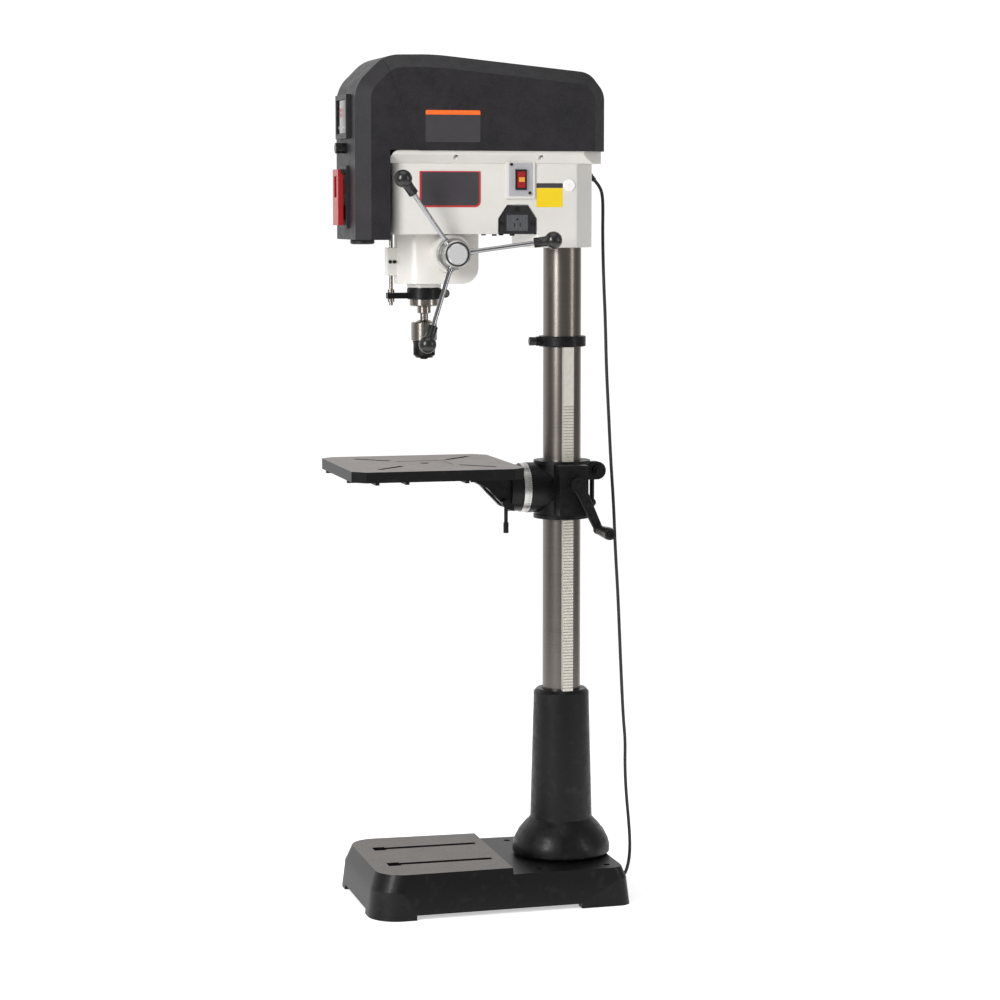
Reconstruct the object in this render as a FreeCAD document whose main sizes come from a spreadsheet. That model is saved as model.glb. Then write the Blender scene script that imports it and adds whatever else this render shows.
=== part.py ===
"""Floor-standing drill press: a parametric FreeCAD document, one object per physical piece.

Frame: the origin is on the floor, straight below the column's axis. +Z is up, -Y is the operator's side, and +X
is the operator's right, where the feed handles and the table crank are. Lengths are in millimetres.
"""
import FreeCAD, Part
import math
import os

import Sketcher
from FreeCAD import Placement, Rotation, Vector

# ---------------------------------------------------------------- driving dimensions
SIZES = {
    # fits
    "running_gap": 0.3, "fit_gap": 0.05, "seam_gap": 0.5,
    # base casting
    "base_front": 446, "base_rear": 100, "base_half_front": 187, "base_half_rear": 172, "base_ridge": 55,
    "base_deck": 79, "base_plate": 92, "base_hollow": 64, "base_wall": 20, "foot_height": 10,
    "slot_offset": 72, "slot_width": 16, "slot_under": 28, "slot_front": 396, "slot_rear": 172,
    "anchor_half": 135, "anchor_front": 84, "anchor_rear": 62, "anchor_radius": 7,
    # column, its flange and the rack
    "column_radius": 40, "column_wall": 7, "column_top": 1555, "flange_top": 437, "flange_neck": 58.5,
    "flange_foot": 66, "flange_bowl": 104, "bolt_circle": 80, "bolt_radius": 6,
    "rack_half": 11, "rack_thick": 11.7, "rack_pitch": 6.28, "tooth_depth": 3, "rack_plain": 115,
    "collar_low": 1165, "collar_tall": 22, "collar_radius": 50,
    # head casting and covers
    "head_low": 1401, "head_top": 1571, "head_half": 100, "head_front": 385, "head_wall": 12,
    "socket_low": 1373, "socket_front": 86, "socket_rear": 50, "rim_half": 118, "rim_front": 394,
    "rim_rear": 46,
    "housing_low": 1299, "housing_radius": 62, "housing_rear": 197,
    "cover_half": 122, "cover_front": 462, "cover_rear": 62, "cover_crown": 1764, "cover_low": 1390,
    "cover_wall": 4, "cover_bevel": 27, "cover_split": 395,
    # drive
    "spindle_y": 298, "quill_radius": 30, "quill_low": 1252, "quill_long": 242,
    "spindle_radius": 10, "spindle_top": 1700, "pulley_low": 1600, "pulley_tall": 40,
    "spindle_pulley_radius": 50,
    "motor_pulley_radius": 25, "motor_y": 140, "motor_radius": 62, "belt_thick": 5,
    # feed
    "feed_y": 260, "feed_z": 1361, "feed_shaft_radius": 9, "feed_boss_radius": 40, "feed_boss_end": 93,
    "hub_radius": 28, "hub_end": 139, "handle_reach": 200, "handle_lean": 52, "rod_radius": 4.7,
    "ball_radius": 18, "handle_turn": 8.4,
    # chuck
    "chuck_radius": 27, "chuck_high": 1219, "chuck_low": 1181, "sleeve_low": 1145,
    # table and its bracket
    "table_side": 361, "table_y": 305, "table_top": 925, "table_rim": 22, "table_plate": 12,
    "insert_side": 100,
    "bracket_low": 803, "bracket_high": 925, "bracket_radius": 57, "tilt_z": 868, "tilt_radius": 53,
    "tilt_face": 78, "ring_thick": 16, "arm_low": 816, "crank_y": 4, "crank_z": 882.3, "crank_reach": 106,
    "gear_radius": 16, "worm_radius": 8, "gearbox_end": 95,
    # mains lead
    "lead_radius": 3.5, "lead_exit": 1541,
}


class Size:
    """A driving dimension or a sum of some: its value, and the sheet expression that gives it."""

    def __init__(self, value, text=None):
        self.value = float(value)
        self.text = text or "%.6f" % self.value

    def join(self, other, sign, value):
        return Size(value, "(%s %s %s)" % (self.text, sign, other.text))

    def __add__(self, other):
        other = as_size(other)
        return self.join(other, "+", self.value + other.value)

    def __sub__(self, other):
        other = as_size(other)
        return self.join(other, "-", self.value - other.value)

    def __mul__(self, other):
        other = as_size(other)
        return self.join(other, "*", self.value * other.value)

    def __truediv__(self, other):
        other = as_size(other)
        return self.join(other, "/", self.value / other.value)

    def __radd__(self, other):
        return as_size(other) + self

    def __rsub__(self, other):
        return as_size(other) - self

    def __rmul__(self, other):
        return as_size(other) * self

    def __neg__(self):
        return 0 - self

    def __float__(self):
        return self.value


def as_size(number):
    return number if isinstance(number, Size) else Size(number)


doc = FreeCAD.newDocument("drill_press")
sheet = doc.addObject("Spreadsheet::Sheet", "sizes")
for row, (name, value) in enumerate(SIZES.items(), start=1):
    sheet.set("A%d" % row, name)
    sheet.set("B%d" % row, str(value))
    sheet.setAlias("B%d" % row, name)
doc.recompute()


class Dimensions:
    """Reads a driving dimension from the sheet by its name."""

    def __getattr__(self, name):
        return Size(sheet.get(name), "sizes." + name)


s = Dimensions()
X, Y, Z = Vector(1, 0, 0), Vector(0, 1, 0), Vector(0, 0, 1)
TURNS = {"Z": Rotation(), "X": Rotation(Y, 90), "Y": Rotation(X, -90), "-X": Rotation(Y, -90),
         "-Y": Rotation(X, 90),
         "-Z": Rotation(X, 180)}
nodes = []


# ---------------------------------------------------------------- small tools
def bind(thing, **values):
    """Binds properties to sizes; a double underscore stands for a dot."""
    for name, value in values.items():
        thing.setExpression(name.replace("__", "."), as_size(value).text)


def place(thing, at, turn=None):
    if turn is not None:
        thing.Placement = Placement(Vector(), turn if isinstance(turn, Rotation) else TURNS[turn])
    bind(thing, Placement__Base__x=at[0], Placement__Base__y=at[1], Placement__Base__z=at[2])
    return thing


def keep(label, thing):
    """Marks an object as a finished node."""
    thing.Label = label
    nodes.append(thing)
    return thing


def box(low, high):
    """A block from its lowest to its highest corner."""
    block = doc.addObject("Part::Box", "block")
    bind(block, Length=high[0] - as_size(low[0]), Width=high[1] - as_size(low[1]),
         Height=high[2] - as_size(low[2]))
    return place(block, low)


def rod(radius, length, at, turn="Z"):
    """A cylinder that starts at a point and runs along an axis."""
    bar = doc.addObject("Part::Cylinder", "bar")
    bind(bar, Radius=radius, Height=length)
    return place(bar, at, turn)


def cone(radius_one, radius_two, length, at, turn="Z"):
    taper = doc.addObject("Part::Cone", "taper")
    bind(taper, Radius1=radius_one, Radius2=radius_two, Height=length)
    return place(taper, at, turn)


def ball(radius, at):
    sphere = doc.addObject("Part::Sphere", "ball")
    bind(sphere, Radius=radius)
    return place(sphere, at)


def fuse(*pieces):
    if len(pieces) == 1:
        return pieces[0]
    union = doc.addObject("Part::MultiFuse", "union")
    union.Shapes = list(pieces)
    return union


def cut(base, *tools):
    result = doc.addObject("Part::Cut", "cut")
    result.Base = base
    result.Tool = fuse(*tools)
    return result


def group(*pieces):
    """Several separate solids in one node."""
    both = doc.addObject("Part::Compound", "group")
    both.Links = list(pieces)
    return both


def body(label="tool"):
    thing = doc.addObject("PartDesign::Body", label)
    thing.Label = label
    return thing


def sketch(owner, role, offset=0):
    """A sketch on one of the body's own origin planes, moved along its normal."""
    plane = [p for p in owner.Origin.OriginFeatures if p.Role == role][0]
    flat = owner.newObject("Sketcher::SketchObject", "outline")
    flat.AttachmentSupport = [(plane, "")]
    flat.MapMode = "FlatFace"
    bind(flat, AttachmentOffset__Base__z=offset)
    return flat


def pin_point(flat, edge, end, x, y):
    """Ties a point of a sketch to its place in sizes."""
    for kind, value in (("DistanceX", as_size(x)), ("DistanceY", as_size(y))):
        at = flat.addConstraint(Sketcher.Constraint(kind, -1, 1, edge, end, value.value))
        flat.setExpression("Constraints[%d]" % at, value.text)


def polygon(flat, points):
    """A closed outline through points, each tied to its sizes."""
    first = flat.GeometryCount
    count = len(points)
    ends = [Vector(float(x), float(y), 0) for x, y in points]
    for i in range(count):
        flat.addGeometry(Part.LineSegment(ends[i], ends[(i + 1) % count]), False)
    for i in range(count):
        flat.addConstraint(Sketcher.Constraint("Coincident", first + i, 2, first + (i + 1) % count, 1))
    for i, (x, y) in enumerate(points):
        pin_point(flat, first + i, 1, x, y)
    return flat


def circle(flat, x, y, radius):
    edge = flat.addGeometry(Part.Circle(Vector(float(x), float(y), 0), Z, float(radius)), False)
    pin_point(flat, edge, 3, x, y)
    at = flat.addConstraint(Sketcher.Constraint("Radius", edge, float(radius)))
    flat.setExpression("Constraints[%d]" % at, as_size(radius).text)
    return flat


def rectangle(flat, low, high):
    return polygon(flat, [(low[0], low[1]), (high[0], low[1]), (high[0], high[1]), (low[0], high[1])])


def feature(owner, kind, flat, length, back=False, middle=False, taper=None):
    """A Pad or Pocket of a sketch."""
    step = owner.newObject("PartDesign::" + kind, kind.lower())
    step.Profile = flat
    bind(step, Length=length)
    step.Reversed = back
    if middle:
        step.SideType = "Symmetric"
    if taper is not None:
        step.TaperAngle = taper
    flat.Visibility = False
    doc.recompute()
    return step


def turned(label, points, at=(0, 0, 0), turn=None):
    """A turned piece: (radius, height) points revolved about its own axis."""
    owner = body(label)
    flat = polygon(sketch(owner, "XZ_Plane"), points)
    spin = owner.newObject("PartDesign::Revolution", "spin")
    spin.Profile = flat
    spin.ReferenceAxis = (flat, ["V_Axis"])
    spin.Angle = 360
    place(owner, at, turn)
    doc.recompute()
    return owner


def edges_where(shape, test):
    """Names of the edges whose middle and direction pass a test."""
    found = []
    for i, edge in enumerate(shape.Edges, start=1):
        middle = edge.valueAt((edge.FirstParameter + edge.LastParameter) / 2)
        along = edge.tangentAt((edge.FirstParameter + edge.LastParameter) / 2)
        if test(middle, along):
            found.append("Edge%d" % i)
    return found


def dress(owner, kind, size, test):
    """A Fillet or Chamfer on the edges of the body's tip that pass a test."""
    tip = owner.Tip
    names = edges_where(tip.Shape, test)
    step = owner.newObject("PartDesign::" + kind, kind.lower())
    step.Base = (tip, names)
    bind(step, **{"Radius" if kind == "Fillet" else "Size": size})
    doc.recompute()
    return step


def near(a, b, slack=0.02):
    return abs(float(a) - float(b)) < slack


def upright(middle, along):
    return abs(along.z) > 0.9


# ---------------------------------------------------------------- base
def base_casting():
    """Hollow base: a skirt on feet, a machined plate with two T-slots and a lower deck for the column."""
    owner = body("base_casting")

    def plan(height, grow):
        flat = sketch(owner, "XY_Plane", height)
        return polygon(flat, [
            (-(s.base_half_front + grow), -(s.base_front + grow)),
            (s.base_half_front + grow, -(s.base_front + grow)),
            (s.base_half_rear + grow, s.base_rear + grow), (-(s.base_half_rear + grow),
                                                            s.base_rear + grow)])

    feature(owner, "Pad", plan(s.base_ridge, 0), s.base_ridge, back=True, taper=6)
    feature(owner, "Pad", plan(s.base_ridge, 0), s.base_plate - s.base_ridge, taper=-20)
    dress(owner, "Fillet", 62, lambda m, t: abs(t.z) > 0.5 and m.y < 0)
    dress(owner, "Fillet", 26, lambda m, t: abs(t.z) > 0.5 and m.y > 0)
    deck = rectangle(sketch(owner, "XY_Plane", s.base_plate), (-250, -150), (250, 250))
    feature(owner, "Pocket", deck, s.base_plate - s.base_deck)
    hollow = sketch(owner, "XY_Plane", 0)
    wall = s.base_wall
    polygon(hollow, [(wall - s.base_half_front, wall + 8 - s.base_front),
                     (s.base_half_front - wall, wall + 8 - s.base_front),
                     (s.base_half_rear - wall, s.base_rear - wall),
                     (wall - s.base_half_rear, s.base_rear - wall)])
    feature(owner, "Pocket", hollow, s.base_hollow, back=True)
    arches = rectangle(sketch(owner, "XY_Plane", 0), (-250, -360), (250, -5))
    feature(owner, "Pocket", arches, s.foot_height, back=True)
    arch = rectangle(sketch(owner, "XY_Plane", 0), (-105, -500), (105, -300))
    feature(owner, "Pocket", arch, s.foot_height, back=True)
    for side in (-1, 1):
        middle = side * s.slot_offset
        for half, rear, top in (
                (s.slot_width / 2, -s.slot_rear, s.base_plate),
                (s.slot_under / 2, -s.slot_rear, s.base_plate - 12),
                (s.slot_under / 2, 26 - s.slot_front, s.base_plate)):
            flat = rectangle(sketch(owner, "XY_Plane", top), (middle - half, -s.slot_front),
                             (middle + half, rear))
            feature(owner, "Pocket", flat, s.base_plate - s.base_hollow + 5)
    holes = sketch(owner, "XY_Plane", s.base_deck)
    for side in (-1, 1):
        circle(holes, side * s.anchor_half, -s.anchor_front, s.anchor_radius)
        circle(holes, side * s.anchor_half, s.anchor_rear, s.anchor_radius)
    for quarter in range(4):
        swing = math.radians(45 + 90 * quarter)
        circle(holes, math.cos(swing) * s.bolt_circle, math.sin(swing) * s.bolt_circle, s.bolt_radius + 0.5)
    feature(owner, "Pocket", holes, s.base_deck - s.base_hollow + 5)
    return keep("base_casting", owner)


# ---------------------------------------------------------------- column
def column_parts():
    fit = s.fit_gap
    keep("column", turned("column", [
        (s.column_radius - s.column_wall, s.base_deck), (s.column_radius, s.base_deck),
        (s.column_radius, s.column_top), (s.column_radius - s.column_wall, s.column_top)]))

    bowl, foot = s.flange_bowl, s.base_deck
    flange = turned("column_flange", [
        (s.column_radius + fit, foot), (bowl - 6, foot), (bowl, foot + 7), (bowl, foot + 20),
        (bowl - 4, foot + 34),
        (bowl - 13, foot + 51), (bowl - 25, foot + 66), (s.flange_foot + 4, foot + 75),
        (s.flange_foot, foot + 80),
        (s.flange_neck, s.flange_top - 7), (s.flange_neck - 6, s.flange_top),
        (s.column_radius + fit, s.flange_top)])
    holes = sketch(flange, "XY_Plane", s.base_deck)
    for quarter in range(4):
        swing = math.radians(45 + 90 * quarter)
        circle(holes, math.cos(swing) * s.bolt_circle, math.sin(swing) * s.bolt_circle, s.bolt_radius + fit)
    feature(flange, "Pocket", holes, 22, back=True)
    keep("column_flange", flange)

    bolts = []
    for quarter in range(4):
        swing = math.radians(45 + 90 * quarter)
        x, y = math.cos(swing) * s.bolt_circle, math.sin(swing) * s.bolt_circle
        shank = rod(s.bolt_radius, s.base_deck - s.base_hollow + 20, (x, y, s.base_hollow))
        head = rod(s.bolt_radius + 4, 8, (x, y, s.base_hollow - 8))
        bolts.append(fuse(shank, head))
    keep("flange_bolts", group(*bolts))


def rack_parts():
    """The rack hangs round the column between the flange and the collar, and swings with the table."""
    low = s.flange_top + s.running_gap
    high = s.collar_low - s.running_gap
    back = s.column_radius + s.running_gap
    blank = box((back - 3, -s.rack_half, low), (back + s.rack_thick, s.rack_half, high))
    tube = rod(back, high - low + 2, (0, 0, low - 1))
    bar = cut(blank, tube)
    doc.recompute()
    face = float(back + s.rack_thick)
    depth, pitch = float(s.tooth_depth), float(s.rack_pitch)
    count = int((float(high - low) - float(s.rack_plain) - 6) / pitch)
    gap = Part.makePolygon([Vector(face + 1, 0, 0.3), Vector(face - depth, 0, 1.2),
                            Vector(face - depth, 0, 2.6),
                            Vector(face + 1, 0, 3.5), Vector(face + 1, 0, 0.3)])
    half = float(s.rack_half) + 1
    tooth = Part.Face(gap).extrude(Vector(0, 2 * half, 0))
    gaps = [tooth.translated(Vector(0, -half, float(low) + 5 + i * pitch)) for i in range(count)]
    rack = doc.addObject("Part::Feature", "rack")
    rack.Shape = bar.Shape.cut(Part.makeCompound(gaps))
    keep("rack", rack)

    inner, outer = s.column_radius + s.fit_gap, s.collar_radius
    ring = turned("tool", [(inner, 0), (outer - 1.5, 0), (outer, 1.5), (outer, s.collar_tall - 1.5),
                           (outer - 1.5, s.collar_tall), (inner, s.collar_tall)], (0, 0, s.collar_low))
    screw_z = s.collar_low + s.collar_tall / 2
    boss = rod(10, 16, (0, -(s.collar_radius + 6), screw_z), "Y")
    tap = rod(4.1, 40, (0, -(s.collar_radius + 8), screw_z), "Y")
    keep("rack_collar", cut(fuse(ring, boss), tap, rod(inner, s.collar_tall + 2, (0, 0, s.collar_low - 1))))
    shank = rod(4, 24, (0, -(s.column_radius + 24.4), screw_z), "Y")
    grip = turned("tool", [(0, 0), (8, 0), (9, 1.5), (9, 13), (6, 16), (0, 16)],
                  (0, -(s.collar_radius + 6.3), screw_z), "-Y")
    keep("collar_knob", fuse(shank, grip))


# ---------------------------------------------------------------- head
def head_casting():
    owner = body("head_casting")
    half, low, top = s.head_half, s.head_low, s.head_top
    spindle = -s.spindle_y
    block = polygon(sketch(owner, "XY_Plane", low), [
        (-half, -s.head_front), (half, -s.head_front), (half, 3), (half / 2, s.socket_rear),
        (-half / 2, s.socket_rear),
        (-half, 3)])
    feature(owner, "Pad", block, top - low)
    socket = polygon(sketch(owner, "XY_Plane", s.socket_low), [
        (-half, -s.socket_front), (half, -s.socket_front), (half, 3), (half / 2, s.socket_rear),
        (-half / 2, s.socket_rear), (-half, 3)])
    feature(owner, "Pad", socket, low - s.socket_low)
    dress(owner, "Fillet", 12, lambda m, t: upright(m, t))
    rim = polygon(sketch(owner, "XY_Plane", top - 26), [
        (-s.rim_half, -s.rim_front), (s.rim_half, -s.rim_front), (s.rim_half, 12),
        (s.rim_half - 32, s.rim_rear + 12),
        (32 - s.rim_half, s.rim_rear + 12), (-s.rim_half, 12)])
    feature(owner, "Pad", rim, 26)
    dress(owner, "Chamfer", 17, lambda m, t: near(m.z, top - 26) and near(abs(m.x), s.rim_half))
    dress(owner, "Fillet", 20, lambda m, t: near(m.z, top) and near(m.y, -s.rim_front))
    wall = s.head_wall
    cavity = rectangle(sketch(owner, "XY_Plane", top), (wall - half, wall - s.head_front),
                       (half - wall, -66))
    feature(owner, "Pocket", cavity, top - low - wall)

    nose = sketch(owner, "XY_Plane", s.housing_low)
    rectangle(nose, (-s.housing_radius, spindle), (s.housing_radius, -s.housing_rear))
    feature(owner, "Pad", nose, low - s.housing_low + 5)
    feature(owner, "Pad", circle(sketch(owner, "XY_Plane", s.housing_low), 0, spindle, s.housing_radius),
            low - s.housing_low + 5)
    dress(owner, "Fillet", 34, lambda m, t: near(m.z, s.housing_low) and near(m.y, -s.housing_rear))
    feature(owner, "Pad", circle(sketch(owner, "XY_Plane", s.housing_low - 8), 0, spindle,
                                 s.quill_radius + 5.5), 20)
    feature(owner, "Pad", circle(sketch(owner, "XY_Plane", low + 2), 0, spindle, s.quill_radius + 15),
            top - low - 14)
    boss = circle(sketch(owner, "YZ_Plane", 0), -s.feed_y, s.feed_z, s.feed_boss_radius)
    feature(owner, "Pad", boss, 2 * s.feed_boss_end, middle=True)
    stop = rectangle(sketch(owner, "XY_Plane", s.feed_z - 45), (-14, -s.head_front + 7),
                     (14, -s.head_front + 36))
    feature(owner, "Pad", stop, 57)
    switch = rectangle(sketch(owner, "YZ_Plane", half - 2), (-150, top - 98), (-88, top - 19))
    feature(owner, "Pad", switch, 6)
    recess = polygon(sketch(owner, "YZ_Plane", half + 1), [
        (-165, low - 1), (-165, low + 32), (-146, low + 60), (-101, low + 60), (-82, low + 32),
        (-82, low - 1)])
    feature(owner, "Pocket", recess, 10)

    quill_bore = circle(sketch(owner, "XY_Plane", top + 1), 0, spindle, s.quill_radius + s.fit_gap)
    feature(owner, "Pocket", quill_bore, 400)
    column_bore = circle(sketch(owner, "XY_Plane", s.column_top + 2), 0, 0, s.column_radius + s.fit_gap)
    feature(owner, "Pocket", column_bore, 400)
    feed_bore = circle(sketch(owner, "YZ_Plane", -150), -s.feed_y, s.feed_z,
                       s.feed_shaft_radius + 5 + s.fit_gap)
    feature(owner, "Pocket", feed_bore, 300, back=True)
    rod_hole = circle(sketch(owner, "XY_Plane", top), 0, 17 - s.head_front, 5)
    feature(owner, "Pocket", rod_hole, 400)
    for radius, above, depth in ((as_size(5), -9, 20), (2.5 + s.fit_gap, 1, 12)):
        holes = sketch(owner, "XY_Plane", top + above)
        for side in (-1, 1):
            for y in (-257, -78):
                circle(holes, side * (s.rim_half - 6), y, radius)
        feature(owner, "Pocket", holes, depth)
    return keep("head_casting", owner)


def cover_blank(inset):
    """The hood's outside, or its hollow when inset by the wall: a rounded outline with bevelled sides."""
    owner = body()
    front, rear = inset - s.cover_front, s.cover_rear - inset
    crown, low = s.cover_crown - inset, s.cover_low + inset
    joint = s.head_top if inset == 0 else s.head_top - 1
    split = -s.cover_split - inset
    flat = polygon(sketch(owner, "YZ_Plane"), [
        (front, low), (split, low), (split, joint), (rear, joint), (rear, crown - 74),
        (rear - 32, crown - 33),
        (-300, crown), (front + 62, crown - 2), (front, crown - 64)])
    feature(owner, "Pad", flat, 2 * (s.cover_half - inset), middle=True)

    def corner(y, z):
        return lambda m, t: abs(t.x) > 0.9 and near(m.y, y) and near(m.z, z)

    dress(owner, "Fillet", 70, corner(front, crown - 64))
    dress(owner, "Fillet", 70, corner(front + 62, crown - 2))
    dress(owner, "Fillet", 45, corner(rear - 32, crown - 33))
    dress(owner, "Fillet", 45, corner(rear, crown - 74))
    dress(owner, "Fillet", 500, corner(-300, crown))
    side = float(s.cover_half - inset)
    dress(owner, "Chamfer", s.cover_bevel, lambda m, t: near(abs(m.x), side) and not near(m.z, joint)
          and not near(m.y, split) and not near(m.z, low))
    return owner


def seam_tool(shift):
    """Everything in front of the slanted seam between the control cover and the belt cover."""
    owner = body()
    flat = polygon(sketch(owner, "YZ_Plane"), [
        (-700, 1300), (-337 + shift, 1300), (-337 + shift, s.head_top), (-417 + shift, s.head_top + 215),
        (-700, s.head_top + 215)])
    feature(owner, "Pad", flat, 400, middle=True)
    return owner


def covers():
    low, wall = s.cover_low, s.cover_wall
    top = s.head_top
    shell = cut(cover_blank(as_size(0)), cover_blank(wall))
    doc.recompute()
    front = doc.addObject("Part::Common", "front")
    front.Base = shell
    front.Tool = seam_tool(0)
    relief = box((-s.cover_half - 1, -s.cover_split, low - 1), (s.cover_half + 1, 0, top))
    panel_hole = rod(5.4, 12, (0, 6 - s.cover_front, top + 5), "-Y")
    button_holes = [box((-9, -s.cover_front - 2, low_edge), (9, wall + 2 - s.cover_front, high_edge))
                    for low_edge, high_edge in ((top - 91, top - 56), (top - 141, top - 111))]
    lamp_hole = rod(6, 10, (0, -428, low - 2))
    keep("front_cover", cut(front, relief, panel_hole, lamp_hole, *button_holes))
    shell_again = cut(cover_blank(as_size(0)), cover_blank(wall))
    keep("belt_cover", cut(shell_again, seam_tool(s.seam_gap)))

    screws = []
    for side in (-1, 1):
        for y in (-257, -78):
            x = side * (s.rim_half - 6)
            head = rod(4.5, 3, (x, y, top - 12))
            shank = rod(2.5, 9, (x, y, top - 9))
            screws.append(fuse(head, shank))
    return screws


def front_panel():
    """Display, speed knob, start and stop buttons behind a red paddle, and the work lamp."""
    face, top = -s.cover_front, s.head_top
    wall = s.cover_wall
    frame = box((-55, face - 10, top + 24), (55, face, top + 113))
    window_seat = box((-46, face - 11, top + 34), (46, face - 3, top + 103))
    window = box((-46, face - 7, top + 34), (46, face - 3, top + 103))
    keep("display", group(cut(frame, window_seat), window))
    spindle_z = top + 5
    keep("control_board", fuse(
        box((-70, face + 16, top - 4), (70, face + 18, top + 130)),
        box((-12, face + 15, spindle_z - 12), (12, face + 16.5, spindle_z + 12)),
        *[rod(3, 12, (x, face + wall, z), "Y") for x in (-62, 62) for z in (top + 28, top + 88)]))
    keep("speed_knob", fuse(
        turned("tool", [(0, 0), (10, 0), (11, 1), (10, 20), (8.5, 22), (0, 22)], (0, face - 0.3, spindle_z),
               "-Y"),
        rod(5.1, 15, (0, face + 14.7, spindle_z), "-Y")))
    bezel = box((-34, face - 6, top - 158), (34, face, top - 31))
    hole_one = box((-9, face - 7, top - 91), (9, face + 1, top - 56))
    hole_two = box((-9, face - 7, top - 141), (9, face + 1, top - 111))
    lugs = [box((x, face - 17, top - 46), (x + 3, face - 5, top - 38)) for x in (-30.5, 27.5)]
    hinge_pin = rod(2, 61, (-30.5, face - 13, top - 42), "X")
    keep("switch_frame", fuse(cut(bezel, hole_one, hole_two), hinge_pin, *lugs))
    gap = s.running_gap
    keep("start_button", box((-9 + gap, face - 8, top - 91 + gap), (9 - gap, face + 6, top - 56 - gap)))
    keep("stop_button", box((-9 + gap, face - 8, top - 141 + gap), (9 - gap, face + 6, top - 111 - gap)))

    paddle = box((-27, face - 22, top - 152), (27, face - 11, top - 38))
    reach_in = box((-12, face - 23, top - 95), (12, face - 10, top - 52))
    knuckle = rod(4, 54, (-27, face - 13, top - 42), "X")
    pin_hole = rod(2.05, 60, (-30, face - 13, top - 42), "X")
    keep("stop_paddle", cut(fuse(paddle, knuckle), reach_in, pin_hole))
    keep("work_lamp", group(rod(20.9, 4, (0, -428, s.cover_low - 9)), fuse(
        turned("tool", [(0, 0), (23, 0), (25, -2), (25, -8), (21, -10), (21, -4), (0, -4)],
               (0, -428, s.cover_low)),
        rod(5.8, 6, (0, -428, s.cover_low - 1)))))


# ---------------------------------------------------------------- switches and plates on the right side of the head
def side_fittings(cover_screws):
    half, top, low = s.head_half, s.head_top, s.head_low
    pad = half + 4
    y_low, y_high = -143.5, -94.5
    plate = box((pad, y_low, top - 92), (pad + 1.5, y_high, top - 25))
    opening = box((pad - 1, -131, top - 80), (pad + 3, -107, top - 38))
    bezel = box((pad, -131, top - 80), (pad + 6, -107, top - 38))
    keep("switch_plate", group(
        cut(plate, opening), cut(bezel, box((pad + 0.5, -127.5, top - 76), (pad + 7, -110.5, top - 42)))))
    rocker = box((pad + 3, -127, top - 75.5), (pad + 9, -111, top - 42.5))
    pivot = rod(1.5, 16.4, (pad + 5, -127.2, top - 59), "Y")
    key_slot = box((pad + 6, -125, top - 64), (pad + 10, -113, top - 54))
    keep("rocker", cut(fuse(rocker, pivot), key_slot))
    keep("safety_key", box((pad + 6.3, -124.7, top - 63.7), (pad + 13, -113.3, top - 54.3)))
    plate_screws = [rod(3, 2, (pad + 1.5, y, top - z), "X") for y, z in ((-138.5, 28), (-99.5, 86))]

    sunk = half - 9
    panel = body()
    outline = polygon(sketch(panel, "YZ_Plane", sunk), [
        (-163, low), (-163, low + 31), (-145, low + 58), (-102, low + 58), (-84, low + 31), (-84, low)])
    feature(panel, "Pad", outline, 5)
    keep("socket_panel", group(
        cut(panel, box((sunk + 3, -149, low + 3), (sunk + 6, -99, low + 43))),
        box((sunk + 3, -149, low + 3), (sunk + 6.5, -99, low + 43))))
    panel_screws = [rod(4, 2.5, (sunk + 5, y, low + z), "X") for y,
                    z in ((-156, 22), (-123.5, 51), (-91, 22))]
    lock_screws = [rod(8, 5, (20, s.socket_rear, top - z), "Y") for z in (88, 140)]
    rod_y = 17 - s.head_front
    stop_screws = [rod(3.5, 3, (14, rod_y + dy, s.feed_z - 17), "X") for dy in (-5, 4)]
    motor_screws = [rod(5, 4, (x, y - s.motor_y, low - 4)) for x in (-45, 45) for y in (-19, 19)]
    keep("head_screws", group(
        *cover_screws, *plate_screws, *panel_screws, *lock_screws, *stop_screws, *motor_screws))


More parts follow.
